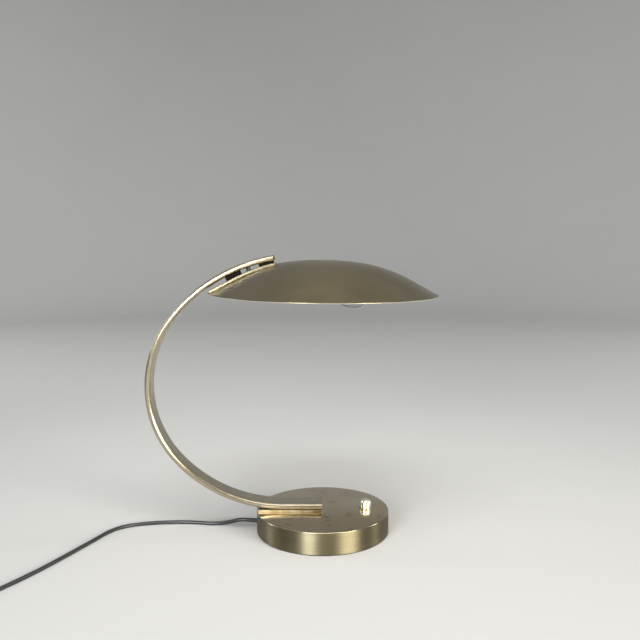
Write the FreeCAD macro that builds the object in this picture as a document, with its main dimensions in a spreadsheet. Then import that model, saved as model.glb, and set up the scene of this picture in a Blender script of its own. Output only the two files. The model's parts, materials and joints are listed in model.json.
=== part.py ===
# A table lamp with a round weighted foot, a flat bent tube for an arm and a wide shallow dome.
# The dome hangs under the arm's upper end on two guides, and slides a little way along the arm.
# The origin is the foot's centre on the table. The arm bows towards -X, and +Z is up. Millimetres.

import FreeCAD, Part
import math
import os
import re
import Sketcher

Vector = FreeCAD.Vector
ACROSS = Vector(0, 1, 0)
AHEAD = Vector(1, 0, 0)
UP = Vector(0, 0, 1)

doc = FreeCAD.newDocument("table_lamp")

# The driving sizes. Every length is in millimetres and every angle in degrees.
SIZES = {
    # foot
    "base_radius": 100.0,
    "base_high": 33.0,
    "cover_wall": 1.5,
    "cover_edge": 1.2,
    "pad_thick": 1.5,
    "pad_inset": 2.0,
    "plate_thick": 2.0,
    "plate_gap": 0.3,
    "weight_thick": 14.0,
    "weight_gap": 0.5,
    "boss_radius": 9.0,
    "bottom_screw_ring": 80.0,
    "bottom_screw_radius": 1.5,
    "bottom_screw_deep": 9.0,
    "bottom_head_radius": 3.0,
    "bottom_head_high": 1.5,
    # screws that hold the arm
    "arm_screw_near": 14.0,
    "arm_screw_step": 24.0,
    "arm_screw_radius": 2.5,
    "screw_hole_gap": 0.3,
    "arm_head_radius": 4.25,
    "arm_head_high": 5.0,
    "arm_head_sunk": 6.0,
    # arm
    "arm_width": 36.0,
    "arm_thick": 8.7,
    "arm_wall": 1.25,
    "foot_plate_thick": 3.4,
    "foot_plate_inset": 0.6,
    "foot_end": 1.0,
    "foot_flat": 59.0,
    "insert_long": 44.0,
    "insert_width": 26.0,
    "lower_radius": 225.2,
    "lower_turn": 46.3,
    "middle_radius": 167.3,
    "middle_turn": 79.6,
    "upper_radius": 248.6,
    "end_angle": 9.05,
    "arm_cap_thick": 2.0,
    "wire_hole_back": 52.0,
    "wire_hole_radius": 3.5,
    # shade
    "shade_radius": 174.0,
    "shade_high": 50.5,
    "shade_thick": 1.2,
    "shade_tilt": 0.6,
    "shade_rim_behind": 137.1,
    "shade_crown_ratio": 0.5515,
    "shade_shoulder_ratio": 1.0787,
    "rail_thick": 2.0,
    "rail_under_arm": 0.1,
    "rail_end_angle": 8.8,
    "rail_rim_inset": 1.0,
    # guides between the rail and the arm
    "slide_gap": 0.3,
    "slide_range": 10.0,
    "slot_width": 12.0,
    "guide_width": 23.0,
    "guide_head_width": 20.0,
    "guide_head_thick": 2.4,
    "front_guide_start": 9.4,
    "front_guide_end": 14.8,
    "rear_guide_start": 22.3,
    "rear_guide_end": 27.9,
    "guide_screw_radius": 2.0,
    "guide_head_radius": 3.6,
    "guide_head_high": 2.4,
    "guide_screw_spare": 1.5,
    # lead between the arm and the lamp holder
    "lead_angle": 19.05,
    "sleeve_radius": 3.3,
    "sleeve_bore": 2.6,
    "sleeve_below": 5.0,
    "grommet_wall": 1.0,
    "grommet_flange": 6.0,
    "grommet_flange_thick": 1.5,
    "grommet_above": 1.0,
    "wire_radius": 1.1,
    "wire_apart": 2.5,
    "arm_wire_inset": 2.8,
    "arm_wire_past": 4.0,
    "wire_foot_bend": 3.0,
    "wire_turn_aside": 9.0,
    # lamp holder
    "bracket_thick": 2.0,
    "bracket_width": 20.0,
    "bracket_ahead": 16.29,
    "bracket_foot": 24.0,
    "bracket_below": 12.0,
    "bulb_axis_up": 5.9,
    "nipple_radius": 5.0,
    "nipple_bore": 3.5,
    "nipple_behind": 5.5,
    "nut_width": 14.0,
    "nut_thick": 3.0,
    "neck_radius": 8.0,
    "neck_long": 10.0,
    "holder_radius": 19.5,
    "holder_wall": 1.5,
    "holder_taper": 8.0,
    "holder_cap_long": 24.0,
    "holder_shell_long": 38.0,
    "insert_deep": 15.0,
    "contact_thick": 1.0,
    "contact_radius": 4.0,
    "thread_wall": 0.6,
    "thread_short": 2.0,
    # bulb
    "bulb_radius": 30.0,
    "bulb_long": 105.0,
    "bulb_glass_wall": 0.8,
    "bulb_foot_wall": 1.2,
    "bulb_neck_radius": 12.6,
    "bulb_cap_wall": 0.6,
    "bulb_cap_long": 27.0,
    "bulb_tip_long": 3.5,
    "bulb_tip_radius": 4.5,
    "bulb_cone_radius": 9.5,
    "bulb_cone_long": 2.0,
    "bulb_neck_straight": 3.0,
    "stem_foot_radius": 6.0,
    "stem_top_radius": 3.0,
    "stem_long": 38.0,
    "support_radius": 0.5,
    "support_spread": 11.0,
    "support_long": 16.0,
    "filament_radius": 0.45,
    "filament_bow": 5.0,
    # push button and switch
    "button_ahead": 65.8,
    "button_radius": 8.7,
    "button_high": 15.3,
    "button_skirt": 5.2,
    "button_hollow": 7.0,
    "button_roof": 1.8,
    "button_travel": 3.0,
    "collar_radius": 10.6,
    "collar_high": 1.1,
    "collar_gap": 0.3,
    "collar_wall": 1.0,
    "barrel_deep": 7.7,
    "ring_nut_radius": 13.0,
    "ring_nut_thick": 3.0,
    "switch_long": 24.0,
    "switch_width": 20.0,
    "switch_deep": 16.0,
    "switch_well": 17.0,
    "stem_radius": 2.0,
    "stem_running": 0.05,
    "stem_reach": 10.0,
    "stem_hole_spare": 1.0,
    "spring_radius": 4.6,
    "spring_wire": 0.45,
    "spring_turns": 4.5,
    "tab_long": 4.0,
    "tab_width": 3.0,
    "tab_thick": 0.8,
    "tab_below_top": 2.0,
    "switch_wire_apart": 4.0,
    # terminal block and the cord inside the foot
    "block_long": 24.0,
    "block_width": 18.0,
    "block_high": 10.0,
    "block_behind": 56.0,
    "block_aside": 10.0,
    "cord_radius": 2.75,
    "exit_angle": 169.7,
    "exit_high": 7.5,
    "trench_width": 13.0,
    "trench_deep": 44.0,
    "relief_long": 20.0,
    "relief_foot": 3.4,
    "relief_tip": 2.95,
    "relief_flange": 3.9,
    "relief_flange_thick": 1.5,
    "relief_flange_gap": 0.15,
    "relief_tail": 4.0,
    "clamp_width": 11.4,
    "clamp_long": 7.0,
    "clamp_high": 9.0,
    "clamp_from_wall": 9.0,
    "jacket_long": 18.0,
    # coil and plug
    "coil_pitch": 6.1,
    "coil_mean_radius": 33.5,
    "coil_layer_turns": 2.5,
    "plug_long": 36.0,
    "plug_width": 30.0,
    "plug_thick": 14.0,
    "plug_edge": 3.5,
    "plug_neck_long": 22.0,
    "plug_neck_radius": 4.6,
    "plug_neck_lip": 0.2,
    "pin_radius": 2.0,
    "pin_long": 19.0,
    "pin_apart": 19.0,
}

sheet = doc.addObject("Spreadsheet::Sheet", "sizes")
for row, (alias, number) in enumerate(SIZES.items(), start=1):
    sheet.set(f"A{row}", alias)
    sheet.set(f"B{row}", str(number))
    sheet.setAlias(f"B{row}", alias)
doc.recompute()


class Size:
    """The sheet's numbers, read by name: size.base_radius."""

    def __getattr__(self, alias):
        return float(sheet.get(alias))


size = Size()
nodes = {}

# Formulas that several pieces share, in the sheet's names.
COVER_ROOF = "(base_high - cover_wall)"
PLATE_TOP = "(pad_thick + plate_thick)"
WEIGHT_TOP = f"({PLATE_TOP} + weight_thick)"
ARM_LOW = "(base_high + foot_plate_thick)"

# Cutting tools stand this far past a face, and joined forms reach this far into each other.
SPARE = 1.0
# Two places nearer than this are the same.
NEAR = 0.01


def linked(formula):
    """A formula of size names, written as an expression of the sheet's cells."""
    return re.sub(r"[a-z]+(_[a-z]+)+", lambda name: "sizes." + name[0], formula)


def bound(thing, at=("0", "0", "0"), turn=None, **lengths):
    """Bind an object's lengths and its place to the sheet."""
    if turn:
        thing.Placement = FreeCAD.Placement(Vector(), FreeCAD.Rotation(*turn))
    for field, formula in lengths.items():
        thing.setExpression(field, linked(formula))
    for letter, formula in zip("xyz", at):
        thing.setExpression(f"Placement.Base.{letter}", linked(formula))
    return thing


def rod(name, radius, long, at, turn=None):
    return bound(doc.addObject("Part::Cylinder", name), at, turn, Radius=radius, Height=long)


def block(name, long, wide, high, at, turn=None):
    return bound(doc.addObject("Part::Box", name), at, turn, Length=long, Width=wide, Height=high)


def joined(kind, name, pieces):
    whole = doc.addObject("Part::" + kind, name)
    whole.Shapes = pieces
    return whole


def minus(name, base, tools):
    """Cut one or more tools from a base."""
    cut = doc.addObject("Part::Cut", name)
    cut.Base = base
    cut.Tool = tools[0] if len(tools) == 1 else joined("MultiFuse", name + "_tools", tools)
    return cut


def plus(name, pieces):
    return joined("MultiFuse", name, pieces)


def turned(name, outline, at=("0", "0", "0"), turn=None):
    """A body turned on a lathe: its outline is (radius, height) corners in the sheet's names."""
    body = doc.addObject("PartDesign::Body", name)
    sketch = body.newObject("Sketcher::SketchObject", name + "_outline")
    plane = [face for face in body.Origin.OriginFeatures if face.Role == "XZ_Plane"][0]
    sketch.AttachmentSupport = [(plane, "")]
    sketch.MapMode = "FlatFace"
    count = len(outline)
    starts = [Vector(*corner_guess(corner)) for corner in outline]
    for side in range(count):
        sketch.addGeometry(Part.LineSegment(starts[side], starts[(side + 1) % count]))
    for side in range(count):
        sketch.addConstraint(Sketcher.Constraint("Coincident", side, 2, (side + 1) % count, 1))
    for side, corner in enumerate(outline):
        for letter, formula in zip("XY", corner):
            start = starts[side].x if letter == "X" else starts[side].y
            rule = Sketcher.Constraint("Distance" + letter, -1, 1, side, 1, start)
            number = sketch.addConstraint(rule)
            sketch.setExpression(f"Constraints[{number}]", linked(formula))
    spin = body.newObject("PartDesign::Revolution", name + "_turned")
    spin.Profile = sketch
    spin.ReferenceAxis = (sketch, ["V_Axis"])
    spin.Angle = 360
    return bound(body, at, turn)


def corner_guess(corner):
    """Where a sketch's corner starts before its constraints are bound: its formulas' own values."""
    probe = doc.addObject("App::FeaturePython", "probe")
    for letter, formula in zip("xy", corner):
        probe.addProperty("App::PropertyFloat", letter)
        probe.setExpression(letter, linked(formula))
    probe.recompute()
    place = (probe.x, probe.y, 0)
    doc.removeObject(probe.Name)
    return place


def rounded(body, name, radius, wanted):
    """Fillet the edges of a body's last feature that the test picks."""
    doc.recompute()
    last = body.Tip
    edges = [f"Edge{n}" for n, edge in enumerate(last.Shape.Edges, start=1) if wanted(edge)]
    fillet = body.newObject("PartDesign::Fillet", name)
    fillet.Base = (last, edges)
    fillet.setExpression("Radius", linked(radius))
    return body


def exit_way():
    """The level direction in which the cord leaves the foot."""
    angle = math.radians(size.exit_angle)
    return Vector(math.cos(angle), math.sin(angle), 0)


def feature(name, shape):
    thing = doc.addObject("Part::Feature", name)
    thing.Shape = shape
    return thing


def keep(name, thing):
    """Name a finished sub-part: its label is the name of its node."""
    thing.Label = name
    nodes[name] = thing


# Foot: felt pad, bottom plate, iron weight and turned cover.

SCREW_PLACES = ["-arm_screw_near", "-arm_screw_near - arm_screw_step"]
SCREW_HOLE = "arm_screw_radius + screw_hole_gap"
BUTTON_AT = ("button_ahead", "0", "0")


def make_pad():
    keep("base_pad", rod("felt_disc", "base_radius - pad_inset", "pad_thick", ("0", "0", "0")))


def bottom_screw_turns():
    return [60, 180, 300]


def ring_place(ring, angle):
    """A place on a ring round the foot's axis, as two formulas."""
    return [f"{ring} * {math.cos(math.radians(angle)):.6f}", f"{ring} * {math.sin(math.radians(angle)):.6f}"]


def make_bottom_plate():
    radius = "base_radius - cover_wall - plate_gap"
    disc = rod("steel_disc", radius, "plate_thick", ("0", "0", "pad_thick"))
    holes = []
    for number, angle in enumerate(bottom_screw_turns()):
        x, y = ring_place("bottom_screw_ring", angle)
        holes.append(rod(f"plate_hole_{number}", "bottom_screw_radius", "plate_thick", (x, y, "pad_thick")))
        sink = rod(f"plate_sink_{number}", "bottom_head_radius", "bottom_head_high", (x, y, "pad_thick"))
        holes.append(sink)
    keep("base_bottom_plate", minus("bottom_plate_cut", disc, holes))


def make_bottom_screws():
    screws = []
    for number, angle in enumerate(bottom_screw_turns()):
        x, y = ring_place("bottom_screw_ring", angle)
        head = rod(f"bottom_head_{number}", "bottom_head_radius", "bottom_head_high", (x, y, "pad_thick"))
        shank = rod(f"bottom_shank_{number}", "bottom_screw_radius", "bottom_screw_deep", (x, y, "pad_thick"))
        screws.append(plus(f"bottom_screw_{number}", [head, shank]))
    keep("bottom_screws", group("bottom_screw_set", screws))


def group(name, pieces):
    """Several equal solids in one node."""
    whole = doc.addObject("Part::Compound", name)
    whole.Links = pieces
    return whole


def set_on_exit(box, reach, half_width):
    """Lay a block along the cord's way out, centred on it, from a distance to the foot's axis."""
    way = exit_way()
    box.Placement.Rotation = FreeCAD.Rotation(UP, size.exit_angle)
    x = f"{reach} * {way.x:.6f} + {half_width} * {way.y:.6f}"
    y = f"{reach} * {way.y:.6f} - {half_width} * {way.x:.6f}"
    box.setExpression("Placement.Base.x", linked(x))
    box.setExpression("Placement.Base.y", linked(y))
    return box


def trench(name, low, high):
    """The cord's way in from the rim, pointing from the foot's wall to its middle."""
    box = block(name, "trench_deep", "trench_width", high, ("0", "0", low))
    return set_on_exit(box, "(base_radius - trench_deep)", "trench_width / 2")


def make_weight():
    radius = "base_radius - cover_wall - weight_gap"
    disc = rod("iron_disc", radius, "weight_thick", ("0", "0", PLATE_TOP))
    bosses = []
    holes = [rod("switch_well", "switch_well", "weight_thick", ("button_ahead", "0", PLATE_TOP))]
    for number, x in enumerate(SCREW_PLACES):
        high = f"{COVER_ROOF} - {WEIGHT_TOP}"
        bosses.append(rod(f"boss_{number}", "boss_radius", high, (x, "0", WEIGHT_TOP)))
        deep = f"{COVER_ROOF} - {PLATE_TOP}"
        holes.append(rod(f"weight_hole_{number}", SCREW_HOLE, deep, (x, "0", PLATE_TOP)))
        head_hole = "arm_head_radius + screw_hole_gap"
        holes.append(rod(f"head_hole_{number}", head_hole, "arm_head_sunk", (x, "0", PLATE_TOP)))
    for number, angle in enumerate(bottom_screw_turns()):
        x, y = ring_place("bottom_screw_ring", angle)
        deep = "bottom_screw_deep - plate_thick"
        holes.append(rod(f"tapped_hole_{number}", "bottom_screw_radius", deep, (x, y, PLATE_TOP)))
    holes.append(trench("weight_trench", PLATE_TOP, "weight_thick"))
    keep("base_weight", minus("weight_cut", plus("weight_cast", [disc] + bosses), holes))


def make_cover():
    inner = "base_radius - cover_wall"
    outline = [("0", "base_high"), ("base_radius", "base_high"), ("base_radius", "pad_thick")]
    outline += [(inner, "pad_thick"), (inner, COVER_ROOF), ("0", COVER_ROOF)]
    shell = turned("cover_turning", outline)

    def top_edge(edge):
        box = edge.BoundBox
        return box.ZMin > size.base_high - NEAR and box.XMax > size.base_radius - NEAR

    rounded(shell, "cover_edge_round", "cover_edge", top_edge)
    holes = [rod(f"cover_hole_{n}", SCREW_HOLE, "cover_wall", (x, "0", COVER_ROOF))
             for n, x in enumerate(SCREW_PLACES)]
    wire_at = ("-wire_hole_back", "0", COVER_ROOF)
    holes.append(rod("cover_wire_hole", "wire_hole_radius", "cover_wall", wire_at))
    barrel = "button_radius + collar_gap + collar_wall"
    holes.append(rod("cover_button_hole", barrel, "cover_wall", ("button_ahead", "0", COVER_ROOF)))
    cord_hole_start = "base_radius - cover_wall * 3"
    holes.append(along_exit("cover_cord_hole", "relief_foot", cord_hole_start, "cover_wall * 4"))
    keep("base_cover", minus("cover_cut", shell, holes))


def along_exit(name, radius, start, long, kind="rod", tip=None):
    """A round piece on the cord's way out: it starts at a distance from the foot's axis."""
    way = exit_way()
    turn = FreeCAD.Rotation(UP, way)
    places = [f"({start}) * {way.x:.6f}", f"({start}) * {way.y:.6f}", "exit_high"]
    if kind == "rod":
        thing = doc.addObject("Part::Cylinder", name)
        thing.setExpression("Radius", linked(radius))
    else:
        thing = doc.addObject("Part::Cone", name)
        thing.setExpression("Radius1", linked(radius))
        thing.setExpression("Radius2", linked(tip))
    thing.Placement = FreeCAD.Placement(Vector(), turn)
    thing.setExpression("Height", linked(long))
    for letter, formula in zip("xyz", places):
        thing.setExpression(f"Placement.Base.{letter}", linked(formula))
    return thing


# Arm: the tube's outer line runs straight along the foot plate and then round three bends.

def arm_bends():
    """Each bend of the arm's outer line: its centre, its radius, and the turn at its start and end."""
    x = -size.foot_end - size.foot_flat
    z = size.base_high + size.foot_plate_thick
    turn = 0.0
    last_turn = 180 - size.end_angle - size.lower_turn - size.middle_turn
    bends = []
    steps = [(size.lower_radius, size.lower_turn), (size.middle_radius, size.middle_turn)]
    steps.append((size.upper_radius, last_turn))
    for radius, step in steps:
        inward = Vector(math.sin(math.radians(turn)), 0, math.cos(math.radians(turn)))
        centre = Vector(x, 0, z) + inward * radius
        bends.append((centre, radius, turn, turn + step))
        turn += step
        inward = Vector(math.sin(math.radians(turn)), 0, math.cos(math.radians(turn)))
        end = centre - inward * radius
        x, z = end.x, end.z
    return bends


def upper_centre():
    return arm_bends()[-1][0]


def oval(width, thick, place):
    """A flat oval section with round sides, square to X."""
    half = (width - thick) / 2
    r = thick / 2
    corners = [place + Vector(0, y, z) for y, z in ((-half, -r), (half, -r), (half, r), (-half, r))]
    sides = [place + Vector(0, half + r, 0), place + Vector(0, -half - r, 0)]
    edges = [Part.LineSegment(corners[0], corners[1]).toShape()]
    edges.append(Part.Arc(corners[1], sides[0], corners[2]).toShape())
    edges.append(Part.LineSegment(corners[2], corners[3]).toShape())
    edges.append(Part.Arc(corners[3], sides[1], corners[0]).toShape())
    return Part.Face(Part.Wire(edges))


def bent(section, centre, start_turn, end_turn):
    """Sweep a section that stands under a bend's centre round a part of that bend."""
    face = section.copy()
    face.rotate(centre, ACROSS, start_turn)
    return face.revolve(centre, ACROSS, end_turn - start_turn)


def arm_sweep(width, thick):
    """The whole length of the arm, as one solid with a flat oval section in the tube's middle."""
    middle = size.arm_thick / 2
    straight = oval(width, thick, Vector(-size.foot_end, 0, arm_low() + middle))
    pieces = [straight.extrude(AHEAD * -size.foot_flat)]
    for centre, radius, start, end in arm_bends():
        section = oval(width, thick, centre - UP * (radius - middle))
        pieces.append(bent(section, centre, start, end))
    return pieces[0].multiFuse(pieces[1:]).removeSplitter()


def arm_low():
    return size.base_high + size.foot_plate_thick


def inner_width():
    return size.arm_width - 2 * size.arm_wall


def inner_thick():
    return size.arm_thick - 2 * size.arm_wall


def arm_under():
    """The radius of the upper bend's inner face, along which the shade slides."""
    return size.upper_radius - size.arm_thick


def round_upper(low, high, width, start_angle, end_angle):
    """A block round the upper bend, between two radii and two angles from upright."""
    centre = upper_centre()
    half = width / 2
    corners = [centre + Vector(0, y, -r) for y, r in ((-half, high), (half, high), (half, low), (-half, low))]
    section = Part.Face(Part.makePolygon(corners + corners[:1]))
    return bent(section, centre, 180 - end_angle, 180 - start_angle)


def angle_of(length):
    """The angle that a length takes up on the upper bend's inner face."""
    return math.degrees(length / arm_under())


def make_arm():
    tube = arm_sweep(size.arm_width, size.arm_thick).cut(arm_sweep(inner_width(), inner_thick()))
    floor = arm_low() - SPARE
    deep = SPARE + size.arm_wall
    for x in screw_places():
        hole = size.arm_screw_radius + size.screw_hole_gap
        tube = tube.cut(Part.makeCylinder(hole, deep, Vector(x, 0, floor)))
    tube = tube.cut(Part.makeCylinder(size.wire_hole_radius, deep, Vector(-size.wire_hole_back, 0, floor)))
    front = size.end_angle + angle_of(size.arm_cap_thick)
    rear = size.rear_guide_end + size.slide_range + angle_of(size.slide_gap)
    slot_high = arm_under() + size.arm_wall + SPARE
    slot = round_upper(arm_under() - SPARE, slot_high, size.slot_width, front, rear)
    keep("arm_tube", feature("bent_tube", tube.cut(slot)))
    foot_cap = oval(inner_width(), inner_thick(), Vector(-size.foot_end, 0, arm_low() + size.arm_thick / 2))
    keep("arm_foot_cap", feature("foot_cap_oval", foot_cap.extrude(AHEAD * -size.arm_cap_thick)))
    centre, radius = arm_bends()[-1][:2]
    section = oval(inner_width(), inner_thick(), centre - UP * (radius - size.arm_thick / 2))
    end_turn = 180 - size.end_angle
    top_cap = bent(section, centre, end_turn - angle_of(size.arm_cap_thick), end_turn)
    keep("arm_top_cap", feature("top_cap_oval", top_cap))


def screw_places():
    return [-size.arm_screw_near, -size.arm_screw_near - size.arm_screw_step]


def make_foot_plate():
    start = "foot_plate_inset - base_radius"
    strip = block("plate_strip", "base_radius - foot_plate_inset - foot_end", "arm_width", "foot_plate_thick",
                  (start, "-arm_width / 2", "base_high"))
    disc = rod("plate_disc", "base_radius - foot_plate_inset", "foot_plate_thick", ("0", "0", "base_high"))
    trimmed = joined("MultiCommon", "plate_trimmed", [strip, disc])
    holes = [rod(f"foot_hole_{n}", SCREW_HOLE, "foot_plate_thick", (x, "0", "base_high"))
             for n, x in enumerate(SCREW_PLACES)]
    wire_at = ("-wire_hole_back", "0", "base_high")
    holes.append(rod("foot_wire_hole", "wire_hole_radius", "foot_plate_thick", wire_at))
    keep("arm_foot_plate", minus("foot_plate_cut", trimmed, holes))


def make_foot_insert():
    low = f"({ARM_LOW} + arm_wall)"
    high = "arm_thick - 2 * arm_wall"
    at = ("-foot_end - arm_cap_thick - insert_long", "-insert_width / 2", low)
    bar = block("insert_bar", "insert_long", "insert_width", high, at)
    holes = [rod(f"insert_hole_{n}", "arm_screw_radius", high, (x, "0", low))
             for n, x in enumerate(SCREW_PLACES)]
    keep("arm_foot_insert", minus("insert_cut", bar, holes))


def make_arm_screws():
    screws = []
    shoulder = f"({PLATE_TOP} + arm_head_sunk)"
    end = f"({ARM_LOW} + arm_thick - arm_wall)"
    for number, x in enumerate(SCREW_PLACES):
        head_at = (x, "0", f"{shoulder} - arm_head_high")
        head = rod(f"arm_head_{number}", "arm_head_radius", "arm_head_high", head_at)
        shank = rod(f"arm_shank_{number}", "arm_screw_radius", f"{end} - {shoulder}", (x, "0", shoulder))
        screws.append(plus(f"arm_screw_{number}", [head, shank]))
    keep("arm_screws", group("arm_screw_set", screws))


# Cords and wires: straight runs joined by arcs.

# A tube's volume may differ by this share from its section times its length.
VOLUME_SLACK_RATIO = 0.01


def rounded_path(points, bend_limit=None):
    """Straight runs joined by tangent arcs, each as large as its two runs allow. Returns wire and radii."""
    edges = []
    radii = []
    start = points[0]
    for before, corner, after in zip(points, points[1:], points[2:]):
        back = (before - corner)
        on = (after - corner)
        half = (math.pi - back.getAngle(on)) / 2
        radius = 0.45 * min(back.Length, on.Length) / math.tan(half)
        if bend_limit:
            radius = min(radius, bend_limit)
        reach = radius * math.tan(half)
        back.normalize()
        on.normalize()
        middle = (back + on).normalize() * (radius / math.cos(half) - radius)
        first = corner + back * reach
        last = corner + on * reach
        edges.append(Part.LineSegment(start, first).toShape())
        edges.append(Part.Arc(first, corner + middle, last).toShape())
        radii.append(radius)
        start = last
    edges.append(Part.LineSegment(start, points[-1]).toShape())
    return Part.Wire(edges), radii


def tube_along(wire, radius):
    """A plain round tube along a wire, checked against its section times its length."""
    first = wire.Edges[0]
    way = first.tangentAt(first.FirstParameter)
    ring = Part.Wire(Part.makeCircle(radius, first.valueAt(first.FirstParameter), way))
    tube = Part.Wire(wire).makePipeShell([ring], True, False)
    expected = math.pi * radius ** 2 * wire.Length
    if abs(tube.Volume / expected - 1) > VOLUME_SLACK_RATIO:
        raise RuntimeError(f"a tube holds {tube.Volume:.0f} mm3, not {expected:.0f}")
    return tube


def make_arm_wires():
    """Two wires from the terminal block, up through the foot and round the inside of the arm."""
    wires = []
    end_turn = 180 - size.lead_angle + size.arm_wire_past
    x = -size.wire_hole_back
    bend = size.wire_foot_bend
    level = arm_low() + size.arm_wire_inset
    hub_y = size.wire_turn_aside
    hub_z = base_roof()
    for y in (-size.wire_apart / 2, size.wire_apart / 2):
        down = hub_y - y
        low = hub_z - down
        edges = [Part.LineSegment(Vector(x, size.block_aside, low), Vector(x, hub_y, low)).toShape()]
        slant = math.sqrt(0.5)
        mid = Vector(x, hub_y - down * slant, hub_z - down * slant)
        edges.append(Part.Arc(Vector(x, hub_y, low), mid, Vector(x, y, hub_z)).toShape())
        edges.append(Part.LineSegment(Vector(x, y, hub_z), Vector(x, y, level - bend)).toShape())
        mid = Vector(x - bend + bend * slant, y, level - bend + bend * slant)
        edges.append(Part.Arc(Vector(x, y, level - bend), mid, Vector(x - bend, y, level)).toShape())
        corner = Vector(-size.foot_end - size.foot_flat, y, level)
        edges.append(Part.LineSegment(Vector(x - bend, y, level), corner).toShape())
        for centre, radius, start, end in arm_bends():
            end = min(end, end_turn)
            spots = []
            for turn in (start, (start + end) / 2, end):
                inward = Vector(math.sin(math.radians(turn)), 0, math.cos(math.radians(turn)))
                spots.append(centre - inward * (radius - size.arm_wire_inset) + ACROSS * y)
            edges.append(Part.Arc(*spots).toShape())
        wires.append(tube_along(Part.Wire(edges), size.wire_radius))
    keep("arm_wires", feature("arm_wire_pair", Part.makeCompound(wires)))


def base_roof():
    return size.base_high - size.cover_wall


# Shade: a spun dome whose outer line is one formula.

def shade_centre():
    """The middle of the shade's rim plane, set by the arm's upper bend."""
    centre = upper_centre()
    drop = size.shade_high + size.rail_thick + size.rail_under_arm
    return Vector(centre.x - size.shade_rim_behind + size.shade_radius, 0, centre.z + arm_under() - drop)


def shade_line(share):
    """Height and slope of the dome's outer line, at a share of its radius."""
    u = share * share
    last = size.shade_crown_ratio + size.shade_shoulder_ratio - 1
    crown, shoulder = size.shade_crown_ratio, size.shade_shoulder_ratio
    high = size.shade_high * (1 - crown * u - shoulder * u * u + last * u ** 3)
    fall = size.shade_high / size.shade_radius
    fall *= 2 * crown * share + 4 * shoulder * share ** 3 - 6 * last * share ** 5
    return high, math.atan(fall)


def offset_line(offset):
    """The dome's line moved square to itself, as points out from the axis."""
    spots = []
    count = 12
    for step in range(count + 1):
        share = step / count
        high, slope = shade_line(share)
        out = share * size.shade_radius + offset * math.sin(slope)
        spots.append(Vector(out, 0, high + offset * math.cos(slope)))
    return spots


def line_edge(spots):
    """One smooth curve through the points, level at the axis."""
    curve = Part.BSplineCurve()
    slope = shade_line(1)[1]
    end = Vector(math.cos(slope), 0, -math.sin(slope))
    curve.interpolate(Points=spots, InitialTangent=AHEAD, FinalTangent=end)
    return curve.toShape()


def spun(edges):
    """Turn a closed outline round the dome's own axis, and set it in place on the arm."""
    solid = Part.Face(Part.Wire(Part.__sortEdges__(edges))).revolve(Vector(), UP, 360)
    solid.Placement = FreeCAD.Placement(shade_centre(), FreeCAD.Rotation(ACROSS, size.shade_tilt))
    return solid


def spun_sheet(low, high):
    """The dome's sheet between two offsets from its outer line."""
    under = offset_line(low)
    over = offset_line(high)
    edges = [line_edge(under), line_edge(over)]
    edges.append(Part.LineSegment(under[0], over[0]).toShape())
    edges.append(Part.LineSegment(under[-1], over[-1]).toShape())
    return spun(edges)


def all_under(offset):
    """Everything under the dome's line at an offset, to well below its rim."""
    spots = offset_line(offset)
    deep = Vector(0, 0, -size.shade_high)
    corner = Vector(spots[-1].x, 0, deep.z)
    edges = [line_edge(spots), Part.LineSegment(spots[-1], corner).toShape()]
    edges += [Part.LineSegment(corner, deep).toShape(), Part.LineSegment(deep, spots[0]).toShape()]
    return spun(edges)


def dome_reach(angle):
    """How far the dome's outer face is from the upper bend's centre, at an angle from upright."""
    centre = upper_centre()
    way = Vector(-math.sin(math.radians(angle)), 0, math.cos(math.radians(angle)))
    back = FreeCAD.Placement(shade_centre(), FreeCAD.Rotation(ACROSS, size.shade_tilt)).inverse()
    low, high = arm_under() / 2, arm_under()
    while high - low > NEAR ** 4:
        middle = (low + high) / 2
        spot = back.multVec(centre + way * middle)
        share = abs(spot.x) / size.shade_radius
        if spot.z > shade_line(share)[0]:
            high = middle
        else:
            low = middle
    return low


def spoke(radius, low, high, angle):
    """A round piece that points from the upper bend's centre."""
    way = Vector(-math.sin(math.radians(angle)), 0, math.cos(math.radians(angle)))
    return Part.makeCylinder(radius, high - low, upper_centre() + way * low, way)


def guide_angles():
    front = (size.front_guide_start, size.front_guide_end)
    return {"front": front, "rear": (size.rear_guide_start, size.rear_guide_end)}


def guide_holes():
    """The guide screws' shanks and the lead's hole, as cutting tools."""
    tools = [spoke(size.guide_screw_radius, arm_under() / 2, arm_under(), sum(pair) / 2)
             for pair in guide_angles().values()]
    hole = size.sleeve_radius + size.grommet_wall
    tools.append(spoke(hole, arm_under() / 2, arm_under(), size.lead_angle))
    return tools


def make_shade():
    keep("shade", feature("spun_dome", spun_sheet(-size.shade_thick, 0).cut(guide_holes())))
    middle = shade_centre()
    centre = upper_centre()
    front = centre.x - math.sin(math.radians(size.rail_end_angle)) * arm_under()
    rear = middle.x - size.shade_radius + size.rail_rim_inset
    corner = Vector(rear, -size.arm_width / 2, middle.z - size.shade_high)
    strip = Part.makeBox(front - rear, size.arm_width, size.shade_high * 3, corner)
    rail = spun_sheet(0, size.rail_thick).common(strip).cut(guide_holes())
    keep("shade_rail", feature("rail_strip", rail))


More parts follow.
